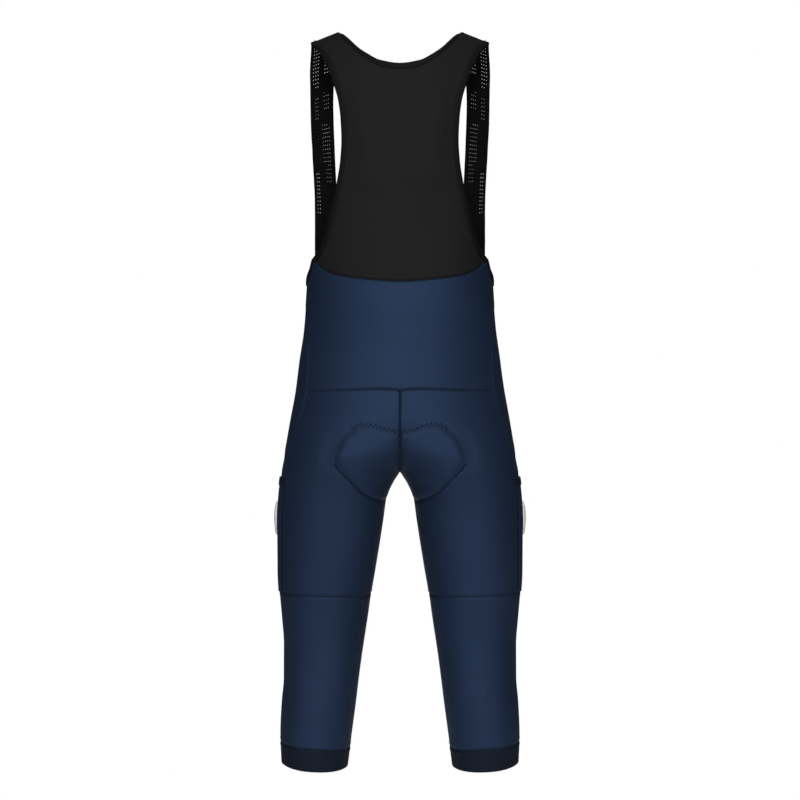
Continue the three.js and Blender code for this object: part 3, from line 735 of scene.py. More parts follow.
def pad_point(column, share):
    """Seat pad, by share out from the centre seam and share down."""
    z = mix(PAD_OUTLINE[0][0], PAD_OUTLINE[-1][0], share)
    section = section_at(z)
    reach = read_table(PAD_OUTLINE, 1, z) - section["axis"]
    edge = reach / np.where(reach < 0, section["inner_half"], section["outer_half"])
    corner = np.sign(edge) * np.abs(edge) ** (SECTION_POWER / 2)
    edge_angle = -np.degrees(np.arccos(np.clip(corner, -1, 1)))
    return body_point(mix(-section["end_angle"], edge_angle, column), z)


# Grids of points over a surface

def unit(vectors):
    return vectors / np.maximum(np.linalg.norm(vectors, axis=-1, keepdims=True), 1e-9)


def lengths_along(points, axis):
    """Distance along the rows or columns of a grid, from its first line."""
    steps = np.linalg.norm(np.diff(points, axis=axis), axis=-1)
    start = np.zeros_like(np.take(steps, [0], axis=axis))
    return np.cumsum(np.concatenate([start, steps], axis=axis), axis=axis)


def survey(surface, columns, rows, outward=-1, is_loop=False):
    """Points of a surface over columns and rows, with the directions out of the form."""
    column, row = np.meshgrid(columns, rows)
    step = SLOPE_STEP * (columns[-1] - columns[0]) / len(columns)
    row_step = SLOPE_STEP * (rows[-1] - rows[0]) / len(rows)
    left, right = column - step, column + step
    if not is_loop:
        left, right = np.maximum(left, columns[0]), np.minimum(right, columns[-1])
    above = np.maximum(row - row_step, rows[0])
    below = np.minimum(row + row_step, rows[-1])
    across = surface(right, row) - surface(left, row)
    down = surface(column, below) - surface(column, above)
    points = surface(column, row)
    return {
        "points": points,
        "normals": outward * unit(np.cross(across, down)),
        "across": lengths_along(points, 1),
        "down": lengths_along(points, 0),
        "column": column,
        "row": row,
        "is_loop": is_loop,
        "side": 0,
    }


def on_side(grid, side):
    """The grid of the wearer's right side, or its mirror image on the left."""
    flip = np.array([side, 1, 1])
    return {**grid, "points": grid["points"] * flip, "normals": grid["normals"] * flip, "side": side}


def both_sides(grid):
    return [(name, on_side(grid, side)) for name, side in SIDES]


def even_rows(surface, column, first, last, count):
    """Rows that lie at even distances along one column of a surface."""
    fine = np.linspace(first, last, ROW_SAMPLES)
    length = lengths_along(surface(np.full(ROW_SAMPLES, float(column)), fine), 0)
    return np.interp(np.linspace(0, length[-1], count + 1), length, fine)


def panel(surface, size, columns, guide, last_row):
    """Grid of a panel, with even columns, and rows that are even along the guide column."""
    rows = even_rows(surface, guide, 0, last_row, size[1])
    return survey(surface, np.linspace(*columns, size[0] + 1), rows)


def tube(surface, size):
    return survey(surface, np.arange(size[0]) / size[0], np.linspace(0, 1, size[1]), is_loop=True)


def moved(grid, points, share):
    """The grid on new points, with its directions taken again where the share is above nothing."""
    normals = unit(np.cross(np.gradient(points, axis=1), np.gradient(points, axis=0)))
    normals *= np.sign(np.sum(normals * grid["normals"], -1, keepdims=True))
    normals = unit(mix(grid["normals"], normals, smooth(share * NORMALS_EASE)[..., None]))
    return {**grid, "points": points, "normals": normals}


def ease_crotch(grid):
    """Smooths the pinched cloth where the legs part."""
    points = grid["points"].copy()
    away = np.abs(points[..., 2] - CROTCH_Z) / CROTCH_SPREAD
    beside = points[..., 0] / CROTCH_REACH
    share = (1 - smooth(away - CROTCH_FULL_SPREAD)) * (1 - smooth(beside - CROTCH_FULL_REACH))
    share[0] = share[-1] = share[:, 0] = 0
    for _ in range(CROTCH_SMOOTHING):
        mean = points.copy()
        mean[1:-1] = (points[:-2] + points[2:]) / 2
        mean[1:-1, 1:-1] = (mean[1:-1, 1:-1] + (points[1:-1, :-2] + points[1:-1, 2:]) / 2) / 2
        points += CROTCH_SMOOTHING_STEP * share[..., None] * (mean - points)
    return moved(grid, points, share)


def fill_cleft(grid):
    """Draws the cloth of the seat straighter from side to side, as the pad under it does."""
    points = grid["points"].copy()
    across = np.exp(-((np.abs(points[..., 0]) / CLEFT_WIDTH) ** CLEFT_ROUND))
    level = points[..., 2]
    down = smooth((level - CLEFT_FOOT_Z) / CLEFT_FOOT_FADE) * smooth((CLEFT_TOP_Z - level) / CLEFT_TOP_FADE)
    facing = np.clip(-grid["normals"][..., 1], 0, 1) ** CLEFT_FACING
    points[..., 1] -= CLEFT_FILL * across * down * facing
    return moved(grid, points, across * down)


# Relief of the cloth, in millimetres out of the form

def bell(distance, width):
    return np.exp(-((distance / width) ** 2))


def drift(points, seed, height, wavelength):
    """Slow uneven swells up to a height, from a few crossed waves."""
    rng = np.random.default_rng(seed)
    total = np.zeros(points.shape[:-1])
    for _ in range(DRIFT_WAVES):
        direction = unit(rng.normal(size=3))
        turn = 2 * math.pi / (wavelength * rng.uniform(*DRIFT_LENGTHS))
        total += np.sin(points @ direction * turn + rng.uniform(0, DRIFT_START))
    return height * (total / DRIFT_WAVES)


def distance_to_line(points, line):
    """Distance of each point to a line of straight pieces, and the share along it."""
    best = np.full(points.shape[:-1], 1e9)
    share = np.zeros(points.shape[:-1])
    count = len(line) - 1
    for i in range(count):
        start, span = line[i], line[i + 1] - line[i]
        along = np.clip(((points - start) @ span) / max(span @ span, 1e-9), 0, 1)
        gap = np.linalg.norm(points - start - along[..., None] * span, axis=-1)
        nearer = gap < best
        best = np.where(nearer, gap, best)
        share = np.where(nearer, (i + along) / count, share)
    return best, share


def crease_height(points, side):
    """The listed soft creases. One with no side lies on both."""
    height = np.zeros(points.shape[:-1])
    share = np.linspace(0, 1, CREASE_POINTS)
    for from_angle, from_z, to_angle, to_z, width, depth, crease_side in CREASES:
        level = mix(from_z, to_z, share) - CREASE_SAG * np.sin(math.pi * share)
        line = body_point(mix(from_angle, to_angle, share), level)
        for turn in (side,) if side else (1, -1):
            if crease_side * turn < 0:
                continue
            gap, along = distance_to_line(points, line * (turn, 1, 1))
            taper = np.sin(math.pi * np.clip(along, 0, 1)) ** CREASE_TAPER
            height -= depth * taper * (bell(gap, width) - CREASE_LIP * bell(gap / width - CREASE_LIP_AT, 1))
    return height


def seam_height(distance):
    """A sewn edge: a narrow groove with a low ridge beside it."""
    ridge = bell(distance - SEAM_RIDGE_AT, SEAM_RIDGE_WIDTH)
    return SEAM_RIDGE * ridge - SEAM_GROOVE * bell(distance, SEAM_GROOVE_WIDTH)


def inside_pad(x, z):
    """Whether a point of the back view lies within the outline of the seat pad."""
    edge = PAD_EDGE + ((0, PAD_EDGE[-1][1]),)
    inside = np.zeros(x.shape, bool)
    for (x0, z0), (x1, z1) in zip(edge, edge[1:] + edge[:1]):
        if z0 != z1:
            inside ^= ((z0 > z) != (z1 > z)) & (x < (x1 - x0) * (z - z0) / (z1 - z0) + x0)
    return inside


def pad_height(points):
    """How the seat pad shows through: a low puff, a groove below it and a hollow at each side."""
    x, z = np.abs(points[..., 0]), points[..., 2]
    gap, _ = distance_to_line(np.stack([x, z], -1), np.array(PAD_EDGE))
    inside = inside_pad(x, z)
    lower = smooth((PAD_SIDE_Z - z) / PAD_SIDE_FADE)
    at_side = (1 - lower) * (1 - smooth((z - PAD_SHOULDER_Z) / PAD_SHOULDER_FADE))
    puff = np.where(inside, PAD_PUFF * smooth(gap / PAD_PUFF_WIDTH), 0)
    groove = bell(gap, PAD_GROOVE_WIDTH) * PAD_GROOVE * mix(PAD_GROOVE_ABOVE, 1, lower)
    hollow = bell(np.where(inside, -gap, gap) - PAD_HOLLOW_AT, PAD_HOLLOW_WIDTH) * PAD_HOLLOW * at_side
    behind = smooth((PAD_BEHIND_Y - points[..., 1]) / PAD_BEHIND_FADE)
    return (puff - groove - hollow) * behind


def edge_distances(grid):
    across, down = grid["across"], grid["down"]
    return {
        "first_column": across,
        "last_column": across[:, -1:] - across,
        "top": down,
        "bottom": down[-1:] - down,
    }


ALL_EDGES = ("top", "bottom", "first_column", "last_column")


def relief(grid, seams, swell, pad=False, calm=()):
    """Height of the cloth above its form. seams and calm name the edges that are sewn or held flat."""
    points = grid["points"]
    height = drift(points, *swell) + crease_height(points, grid["side"])
    if pad:
        height += pad_height(points)
    distances = edge_distances(grid)
    for edge in (*seams, *calm):
        height *= smooth(distances[edge] / EDGE_CALM)
    for edge in seams:
        height += seam_height(distances[edge])
    return height


# Meshes

def patch(index, uv):
    """Quads over a grid of vertex numbers, with the place of each corner in the cloth."""
    def corners(values):
        return np.stack([values[:-1, :-1], values[1:, :-1], values[1:, 1:], values[:-1, 1:]], 2)
    return corners(index).reshape(-1, 4), corners(uv).reshape(-1, 4, 2)


def add_to_scene(name, content):
    thing = bpy.data.objects.new(name, content)
    bpy.context.scene.collection.objects.link(thing)
    return thing


def make_object(name, vertices, faces, uv):
    """A smooth mesh of quads, turned to point out of the closed form."""
    a, b, c, d = (vertices[faces[:, i]] for i in range(4))
    if (a * np.cross(b, c)).sum() + (a * np.cross(c, d)).sum() <= 0:
        faces, uv = faces[:, ::-1], uv[:, ::-1]
    mesh = bpy.data.meshes.new(name)
    mesh.vertices.add(len(vertices))
    mesh.loops.add(faces.size)
    mesh.polygons.add(len(faces))
    for target, key, values in (
        (mesh.vertices, "co", (vertices * MM).astype(np.float32).ravel()),
        (mesh.loops, "vertex_index", faces.astype(np.int32).ravel()),
        (mesh.polygons, "loop_start", np.arange(0, faces.size, 4, dtype=np.int32)),
        (mesh.polygons, "loop_total", np.full(len(faces), 4, dtype=np.int32)),
        (mesh.polygons, "use_smooth", np.ones(len(faces), dtype=bool)),
    ):
        target.foreach_set(key, values)
    mesh.update(calc_edges=True)
    mesh.uv_layers.new(name="cloth").data.foreach_set("uv", uv.astype(np.float32).ravel())
    mesh.validate()
    return add_to_scene(name, mesh)


def wall(name, outer, inner, uv, is_loop=False):
    """A closed sheet between two grids of points, with rounded edges."""
    rows, columns = outer.shape[:2]
    count = rows * columns
    index = np.arange(count).reshape(rows, columns)
    if is_loop:
        index = np.concatenate([index, index[:, :1]], axis=1)
    outer, inner = outer.reshape(-1, 3), inner.reshape(-1, 3)
    vertices = [outer, inner]
    parts = [patch(index, uv), patch(index[:, ::-1] + count, uv[:, ::-1])]
    rims = [(index[0], uv[0], index[1]), (index[-1, ::-1], uv[-1, ::-1], index[-2, ::-1])]
    if not is_loop:
        rims += [(index[::-1, 0], uv[::-1, 0], index[::-1, 1]), (index[:, -1], uv[:, -1], index[:, -2])]
    start = 2 * count
    for edge, edge_uv, within in rims:
        middle = (outer[edge] + inner[edge]) / 2
        thickness = np.linalg.norm(outer[edge] - inner[edge], axis=-1, keepdims=True)
        outwards = unit(middle - (outer[within] + inner[within]) / 2)
        numbers = start + np.arange(len(edge))
        vertices.append(middle + outwards * thickness * RIM_BULGE)
        closing = np.stack([edge + count, numbers, edge])
        if is_loop:
            closing[1, -1] = numbers[0]
        parts.append(patch(closing, np.stack([edge_uv] * 3)))
        start += len(edge)
    faces, face_uv = (np.concatenate(values) for values in zip(*parts))
    return make_object(name, np.concatenate(vertices), faces, face_uv)


def shell(name, grid, thickness, height, lift):
    """A sheet of cloth on a grid. Its outer face stands the lift and the height above the form."""
    points, normals, side = grid["points"].copy(), grid["normals"], grid["side"]
    for edge, within in ((0, 1), (-1, -2)):
        points[edge] += unit(points[within] - points[edge]) * SEAM_HALF_GAP
        if not grid["is_loop"]:
            points[:, edge] += unit(points[:, within] - points[:, edge]) * SEAM_HALF_GAP
    outer = points + normals * (lift + height)[..., None]
    inner = points + normals * (lift + height - thickness)[..., None]
    if side:
        on_centre = np.abs(grid["points"][..., 0]) < CENTRE_REACH
        for layer in (outer, inner):
            beside = np.maximum(side * layer[..., 0], SEAM_HALF_GAP)
            layer[..., 0] = side * np.where(on_centre, SEAM_HALF_GAP, beside)
    across, down = grid["across"], grid["down"]
    if grid["is_loop"]:
        closing = across[:, -1:] + np.linalg.norm(points[:, :1] - points[:, -1:], axis=-1)
        across = np.concatenate([across, closing], axis=1)
        down = np.concatenate([down, down[:, :1]], axis=1)
    middle = across[:, across.shape[1] // 2][:, None]
    piece = wall(name, outer, inner, np.stack([across - middle, down], -1), grid["is_loop"])
    return piece, {"points": outer, "normals": normals}


def settle(piece, slot_name, node=None, material=None):
    """Gives a piece its body and its look, named by the slot unless a material is given, and hides its solid
    if it has one.
    """
    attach(piece, "root")
    if node:
        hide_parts(node)
    piece.data.materials.append(LOOKS[material or slot_name])


surfaces = {}


def lay(node, kind, grid, thickness, height, slot_name, lift=0.0):
    """Makes a sheet in the place of its solid, and keeps its outer face for the sewing."""
    piece, surfaces[node] = shell(f"{node}_{kind}", grid, thickness, height, lift)
    settle(piece, slot_name, node)


# Threads

def thread_mesh(name, lines, normals, radius):
    """Short sewn threads, each along a line of points, joined in one mesh."""
    count, steps = lines.shape[:2]
    along = unit(np.gradient(lines, axis=1))
    side = unit(np.cross(along, normals))
    up = np.cross(side, along)
    corners = np.stack([lines + radius * offset for offset in (side, up, -side, -up)], 2)
    index = np.arange(count * steps * 4).reshape(count, steps, 4)
    around = np.roll(index, -1, axis=2)
    sides = np.stack([index[:, :-1], around[:, :-1], around[:, 1:], index[:, 1:]], -1)
    caps = np.concatenate([index[:, 0, ::-1], index[:, -1]])
    faces = np.concatenate([sides.reshape(-1, 4), caps])
    turn = np.broadcast_to(np.arange(4) / 4, (count, steps, 4))
    length = np.broadcast_to(lengths_along(lines, 1)[..., None], (count, steps, 4))
    uv = np.stack([turn, length], -1).reshape(-1, 2)[faces]
    return make_object(name, corners.reshape(-1, 3), faces, uv)


def along_path(points, normals, pitch, is_loop):
    """Even places along a line of points: place, direction out, direction along."""
    if is_loop:
        points, normals = (np.concatenate([values, values[:1]]) for values in (points, normals))
    length = lengths_along(points, 0)
    count = max(int(length[-1] / pitch), 2)
    at = (np.arange(count) + 0.5) * length[-1] / count

    def read(values, places):
        return np.stack([np.interp(places, length, values[:, i]) for i in range(3)], -1)
    ahead, behind = read(points, at + PATH_STEP), read(points, at - PATH_STEP)
    return read(points, at), unit(read(normals, at)), unit(ahead - behind)


def stitches(line, pitch, width, reach, height, droop=1.0, sink=0.0, steps=5, turns=False, is_loop=False):
    """Threads along a line. Each goes half its width across and its reach along to both sides.

    droop is the share of the height that is lost at a thread's ends. With turns, every second
    thread goes across the other way.
    """
    places, out, along = along_path(*line, pitch, is_loop)
    side = unit(np.cross(out, along))
    if turns:
        side *= np.where(np.arange(len(places)) % 2, 1, -1)[:, None]
    lines = []
    for share in np.linspace(-1, 1, steps):
        raised = height * (1 - droop * share**DROOP_POWER) - sink
        lines.append(places + side * share * width / 2 + along * share * reach + out * raised)
    return np.stack(lines, 1), np.stack([out] * steps, 1)


def ladder(line, width=FLATLOCK_WIDTH, is_loop=False):
    """Flatlock stitches: slanted threads that bridge a seam from side to side."""
    return stitches(
        line, FLATLOCK_PITCH, width, FLATLOCK_SLANT, FLATLOCK_HEIGHT, droop=FLATLOCK_DROOP, is_loop=is_loop)


def running(line, is_loop=False):
    """A row of straight stitches on a line."""
    reach = RUN_FILL * RUN_PITCH / 2
    return stitches(line, RUN_PITCH, 0, reach, RUN_HEIGHT, sink=RUN_SINK, steps=4, is_loop=is_loop)


def edge_of(name, row=None, column=None, first=0.0, last=1.0):
    """A row or column of a finished outer face, from one share of it to another."""
    pick = (slice(None), column) if row is None else row
    lines = [surfaces[name][key][pick] for key in ("points", "normals")]
    count = len(lines[0])
    return [values[int(first * count): int(last * count)] for values in lines]


def sew(name, rows, radius, slot_name, material):
    lines, ups = (np.concatenate(values) for values in zip(*rows))
    settle(thread_mesh(name, lines, ups, radius), slot_name, material=material)


# Materials

def tones(tree, shade, dark, light, places=(0, 1)):
    """The colour between a dark and a light tone."""
    ramp = tree.nodes.new("ShaderNodeValToRGB")
    for element, place, color in zip(ramp.color_ramp.elements, places, (dark, light)):
        element.position = place
        element.color = (*color, 1)
    tree.links.new(shade, ramp.inputs[0])
    return ramp.outputs[0]


def cloth_material(name, dark, light, roughness, weave, pitch, bump, sheen, specular, gloss=0):
    """Cloth whose yarn, colour variation and sheen follow the cloth's own length and width."""
    material = bpy.data.materials.new(name)
    material.use_nodes = True
    tree = material.node_tree
    link = tree.links.new

    def calc(operation, *values):
        node = tree.nodes.new("ShaderNodeMath")
        node.operation = operation
        node.inputs[1].default_value = 0.0
        for value, target in zip(values, node.inputs):
            if isinstance(value, (int, float)):
                target.default_value = value
            else:
                link(value, target)
        return node.outputs[0]

    def add(first, second):
        return calc("ADD", first, second)

    def times(first, second):
        return calc("MULTIPLY", first, second)

    def wave(value, length):
        return calc("SINE", times(value, 2 * math.pi / length))

    def noise(scale, detail):
        node = tree.nodes.new("ShaderNodeTexNoise")
        node.inputs["Scale"].default_value = scale
        node.inputs["Detail"].default_value = detail
        link(where.outputs["Object"], node.inputs["Vector"])
        return node.outputs[0]

    place = tree.nodes.new("ShaderNodeUVMap")
    place.uv_map = "cloth"
    axes = tree.nodes.new("ShaderNodeSeparateXYZ")
    link(place.outputs[0], axes.inputs[0])
    across, down = axes.outputs[0], axes.outputs[1]
    if weave == "knit":
        wale = calc("ABSOLUTE", wave(across, 2 * pitch))
        lean = calc("PINGPONG", calc("DIVIDE", across, pitch), 0.5)
        course = add(calc("DIVIDE", down, pitch * KNIT_COURSE), lean)
        yarn = add(times(wale, WALE_SHARE), times(wave(course, 1), 1 - WALE_SHARE))
    elif weave == "rib":
        courses = wave(down, pitch * RIB_COURSE)
        yarn = add(times(wave(across, pitch), RIB_SHARE), times(courses, 1 - RIB_SHARE))
    elif weave == "twist":
        yarn = wave(add(times(down, 1 / pitch), times(across, 2)), 1)
    else:
        yarn = times(wave(across, pitch), wave(down, pitch))
    where = tree.nodes.new("ShaderNodeTexCoord")
    cloud, fibre = noise(CLOUD_SCALE, CLOUD_DETAIL), noise(FIBRE_SCALE, FIBRE_DETAIL)
    shade = add(add(times(yarn, YARN_SHADE), times(cloud, CLOUD_SHADE)), times(fibre, FIBRE_SHADE))
    raised = tree.nodes.new("ShaderNodeBump")
    raised.inputs["Strength"].default_value = bump
    raised.inputs["Distance"].default_value = BUMP_DISTANCE
    link(add(yarn, times(fibre, FIBRE_RELIEF)), raised.inputs["Height"])
    sockets = tree.nodes["Principled BSDF"].inputs
    link(tones(tree, shade, dark, light, SHADE_RANGE), sockets["Base Color"])
    link(add(times(cloud, CLOUD_ROUGHNESS), roughness - CLOUD_ROUGHNESS / 2), sockets["Roughness"])
    link(raised.outputs[0], sockets["Normal"])
    sockets["Sheen Weight"].default_value = sheen
    sockets["Sheen Roughness"].default_value = SHEEN_ROUGHNESS
    sockets["Specular IOR Level"].default_value = specular
    sockets["Metallic"].default_value = gloss
    return material


LOOKS = {row[0]: cloth_material(*row) for row in MATERIALS}


# Panels

bib = panel(bib_point, BIB_GRID, (-BIB_COLUMNS, BIB_COLUMNS), NEAR_CENTRE_COLUMN, BIB_ROWS)
height = relief(bib, ("bottom",), BIB_SWELL, calm=("top", "first_column", "last_column"))
lay("bib_back", "cloth", bib, CLOTH, height, "bib_knit")

yoke = panel(yoke_point, YOKE_GRID, (-YOKE_COLUMNS, YOKE_COLUMNS), NEAR_CENTRE_COLUMN, WAIST_ROWS)
lay("back_yoke", "cloth", yoke, CLOTH, relief(yoke, ALL_EDGES, YOKE_SWELL), "navy_knit")

seat = panel(seat_point, SEAT_GRID, (0, SEAT_COLUMNS), GUIDE_COLUMN, HIP_ROWS + THIGH_ROWS)
for name, grid in both_sides(fill_cleft(ease_crotch(seat))):
    height = relief(grid, ALL_EDGES, SEAT_SWELL, pad=True)
    lay(f"seat_{name}", "cloth", grid, CLOTH, height, "navy_knit")

front = panel(front_point, FRONT_GRID, (0, FRONT_COLUMNS), GUIDE_COLUMN, FRONT_ROWS)
for name, grid in both_sides(ease_crotch(front)):
    height = relief(grid, ("bottom", "first_column", "last_column"), FRONT_SWELL, calm=("top",))
    lay(f"front_{name}", "cloth", grid, CLOTH, height, "navy_knit")

for name, grid in both_sides(tube(lower_leg_point, LOWER_LEG_GRID)):
    height = relief(grid, ("top", "bottom"), LOWER_LEG_SWELL)
    lay(f"lower_leg_{name}", "cloth", grid, CLOTH, height, "navy_knit")

for name, grid in both_sides(tube(cuff_point, CUFF_GRID)):
    height = relief(grid, ("top",), CUFF_SWELL)
    ribs = np.sin(grid["column"] * CUFF_RIBS * 2 * math.pi)
    height += CUFF_RIB * ribs * smooth(grid["down"] / CUFF_RIB_FADE)
    lay(f"cuff_{name}", "cloth", grid, CUFF_CLOTH, height, "cuff_elastic")


# Straps: perforated elastic, with holes cut through

STRAP_ROWS_AT = even_rows(strap_point, STRAP_GUIDE_COLUMN, 0, BIB_ROWS, STRAP_STEPS)
STRAP_LENGTH_SHARES = np.linspace(0, 1, STRAP_STEPS + 1)


def strap_surface(share, drop):
    """Share across from the neck side, and share of the strap's own length from the top."""
    rows = np.interp(drop, STRAP_LENGTH_SHARES, STRAP_ROWS_AT)
    return strap_point(np.asarray(share) * STRAP_COLUMNS, rows)


def hole_size(share, z):
    """Radius of the hole at a place of the strap, as a share of the whole size."""
    size = np.full_like(share, STRAP_CLOSED_HOLE)
    for first_share, last_share, low_z, high_z, open_size in STRAP_HOLES:
        here = (share > first_share) & (share < last_share) & (z > low_z) & (z < high_z)
        size = np.where(here, open_size, size)
    return size


def halved(values):
    """The values with the middle of each step added."""
    return np.interp(np.arange(2 * len(values) - 1) / 2, np.arange(len(values)), values)


def perforated_strap(name, side):
    """Cells with an eight-sided hole each, in two layers joined round every hole."""
    border = STRAP_BORDER / STRAP_WIDTH
    holes_between = np.linspace(border, 1 - border, STRAP_HOLES_ACROSS + 1)
    columns = halved(np.concatenate([[0, border / 2], holes_between, [1 - border / 2, 1]]))
    rows = halved(np.linspace(0, 1, STRAP_HOLES_DOWN + 1))
    grid = on_side(survey(strap_surface, columns, rows, outward=1), side)
    points, normals, share = grid["points"], grid["normals"], grid["column"]
    points[0] += STRAP_REACH * unit(points[0] - points[1])
    points[-1] += STRAP_REACH * unit(points[-1] - points[-2])
    height = drift(points, *STRAP_SWELL)
    height += STRAP_BORDER_RISE * (smooth((border - share) / border) + smooth((share - 1 + border) / border))
    surfaces[f"strap_{name}"] = {"points": points + normals * height[..., None], "normals": normals}

    width = len(columns)
    whole = np.arange(len(rows) * width).reshape(len(rows), width)
    steps = ((0, 0), (0, 1), (0, 2), (1, 2), (2, 2), (2, 1), (2, 0), (1, 0))
    corner = whole[:-1:2, :-1:2]
    outside = np.stack([corner + row * width + column for row, column in steps], -1)
    centre = corner + width + 1
    is_hole = np.zeros(corner.shape, bool)
    is_hole[:, STRAP_PLAIN_CELLS:-STRAP_PLAIN_CELLS] = True
    holes, centres = outside[is_hole], centre[is_hole]

    flat_points, flat_normals = points.reshape(-1, 3), normals.reshape(-1, 3)
    place_uv = np.stack([share * STRAP_WIDTH, grid["row"] * STRAP_LENGTH], -1).reshape(-1, 2)
    turns = np.radians((225 + 45 * np.arange(8)) % 360)
    radius = (STRAP_HOLE_RADIUS * hole_size(share.ravel()[centres], flat_points[centres, 2]))[:, None]
    offset = np.stack([np.cos(turns) * radius, np.sin(turns) * radius], -1)
    across = unit(flat_points[centres + 1] - flat_points[centres - 1])[:, None]
    down = unit(flat_points[centres + width] - flat_points[centres - width])[:, None]
    ring = flat_points[centres][:, None] + across * offset[..., :1]
    ring += down * (offset[..., 1:] * STRAP_HOLE_STRETCH)
    all_points = np.concatenate([flat_points, ring.reshape(-1, 3)])
    all_normals = np.concatenate([flat_normals, np.repeat(flat_normals[centres], 8, axis=0)])
    all_height = np.concatenate([height.ravel(), np.repeat(height.ravel()[centres], 8)])[:, None]
    all_uv = np.concatenate([place_uv, (place_uv[centres][:, None] + offset).reshape(-1, 2)])

    around = np.roll(np.arange(8), -1)
    ring_index = len(flat_points) + np.arange(len(holes) * 8).reshape(-1, 8)
    layer = [np.stack([holes, holes[:, around], ring_index[:, around], ring_index], -1).reshape(-1, 4)]
    solid, middle = outside[~is_hole], centre[~is_hole]
    for i in range(0, 8, 2):
        layer.append(np.stack([solid[:, i - 1], solid[:, i], solid[:, i + 1], middle], -1))
    layer = np.concatenate(layer)
    count = len(all_points)
    next_index = ring_index[:, around]
    hole_wall = np.stack([ring_index, next_index, next_index + count, ring_index + count], -1).reshape(-1, 4)
    border_line = np.concatenate([whole[0, :-1], whole[:-1, -1], whole[-1, :0:-1], whole[:0:-1, 0]])
    after = np.roll(border_line, -1)
    edge_wall = np.stack([after, border_line, border_line + count, after + count], -1)
    faces = np.concatenate([layer, layer[:, ::-1] + count, hole_wall, edge_wall])

    outer = all_points + all_normals * all_height
    vertices = np.concatenate([outer, outer - all_normals * STRAP_CLOTH])
    vertices[:, 0] = side * np.maximum(side * vertices[:, 0], SEAM_HALF_GAP)
    used = np.zeros(len(vertices), bool)
    used[faces.ravel()] = True
    uv = np.concatenate([all_uv, all_uv])[faces]
    return make_object(f"strap_{name}_mesh", vertices[used], (np.cumsum(used) - 1)[faces], uv)


for name, side in SIDES:
    settle(perforated_strap(name, side), "strap_mesh", f"strap_{name}")


# Bindings: a strip folded over the raw edge

binding_lines = []


def bind(node, edge_points, edge_normals, inside_points, inside_normals):
    """Wraps a strip over an edge. Its outer leg ends at the inside points, and its inner leg just before."""
    half = BINDING_CLOTH / 2
    length = lengths_along(edge_points, 0)
    thin = mix(BINDING_END, 1, smooth(np.minimum(length, length[-1] - length) / BINDING_TAPER))[:, None]
    reach = CLOTH / 2 + LAYER_GAP + half
    section = [
        (share, LAYER_GAP + half + (BINDING_BULGE * math.sin(math.pi * share) + BINDING_RISE), 0.0)
        for share in np.linspace(1, 0, LEG_STEPS)
    ]
    for turn in np.radians(FOLD_TURNS):
        section.append((0.0, -CLOTH / 2 + reach * math.cos(turn), -reach * math.sin(turn) * BINDING_WRAP))
    for share in np.linspace(0, BINDING_INNER_LEG, LEG_STEPS):
        section.append((share, -CLOTH - LAYER_GAP - half, 0.0))
    inwards = unit(inside_points - edge_points)
    middle_line = []
    for share, lift, beyond in section:
        base = mix(edge_points, inside_points, share)
        out = unit(mix(edge_normals, inside_normals, share))
        middle_line.append(base + out * mix(-CLOTH / 2, lift, thin) + inwards * beyond * thin)
    middle_line = np.stack(middle_line, 1)
    facing = unit(np.cross(np.gradient(middle_line, axis=0), np.gradient(middle_line, axis=1)))
    facing *= 1 if np.sum(facing[:, 0] * edge_normals, -1).mean() > 0 else -1
    facing *= (half * thin)[:, None]
    uv = np.stack([lengths_along(middle_line, 0), lengths_along(middle_line, 1)], -1)
    settle(wall(f"{node}_strip", middle_line + facing, middle_line - facing, uv), "binding", node)
    stitch_lift = LAYER_GAP + BINDING_CLOTH + BINDING_STITCH_LIFT
    stitch_line = mix(edge_points, inside_points, BINDING_STITCH_AT) + edge_normals * stitch_lift
    binding_lines.append((stitch_line, edge_normals))


def inward_column(surface, edge_column, row, width):
    """The column that lies one width inside an edge, by walking inwards."""
    edge = surface(edge_column, row)
    column = np.array(edge_column, float)
    for _ in range(WALK_LIMIT):
        near = np.linalg.norm(surface(column, row) - edge, axis=-1) < width
        if not near.any():
            break
        column = np.where(near, column - WALK_STEP, column)
    return column


def normals_at(surface, column, row):
    across = surface(column + NORMAL_STEP, row) - surface(column - NORMAL_STEP, row)
    down = surface(column, row + NORMAL_STEP) - surface(column, np.maximum(row - NORMAL_STEP, 0))
    return -unit(np.cross(across, down))


def stations(surface, edge, inside, shift=0.0, drop=0.0, limit=math.inf):
    """Points and directions out, at the edge's columns and rows and at the inside ones.

    The directions are taken a shift across and, at the edge, a drop down from the point itself.
    """
    found = []
    for (columns, rows), below in ((edge, drop), (inside, 0.0)):
        normals = normals_at(surface, np.minimum(columns + shift, limit), rows + below)
        found += [surface(columns, rows), normals]
    return found


def armhole_stations():
    """Stations down the bib, round its lower corner and along the navy edge."""
    rows = even_rows(bib_point, ARMHOLE_GUIDE_COLUMN, ARMHOLE_FIRST_ROW, BIB_ROWS, ARMHOLE_ROWS)
    columns = np.full(len(rows), ARMHOLE_EDGE_COLUMN)
    inside = inward_column(bib_point, columns, rows, BINDING_WIDTH)
    steps = np.arange(1, CORNER_STEPS) / CORNER_STEPS
    yoke_edge = (mix(BIB_COLUMNS, YOKE_COLUMNS, steps), np.zeros(len(steps)))
    yoke_inside = (mix(inside[-1], YOKE_COLUMNS, steps), np.minimum(1.0, steps * CORNER_FAN))
    front_columns = np.linspace(0, STRAP_FIRST_COLUMN, SIDE_STATIONS)
    top = np.zeros(len(front_columns))
    parts = (
        stations(bib_point, (columns, rows), (inside, rows)),
        stations(yoke_point, yoke_edge, yoke_inside, -EDGE_SHIFT, EDGE_SHIFT),
        stations(front_point, (front_columns, top), (front_columns, top + 1), EDGE_SHIFT, EDGE_SHIFT),
    )
    return [np.concatenate(values) for values in zip(*parts)]


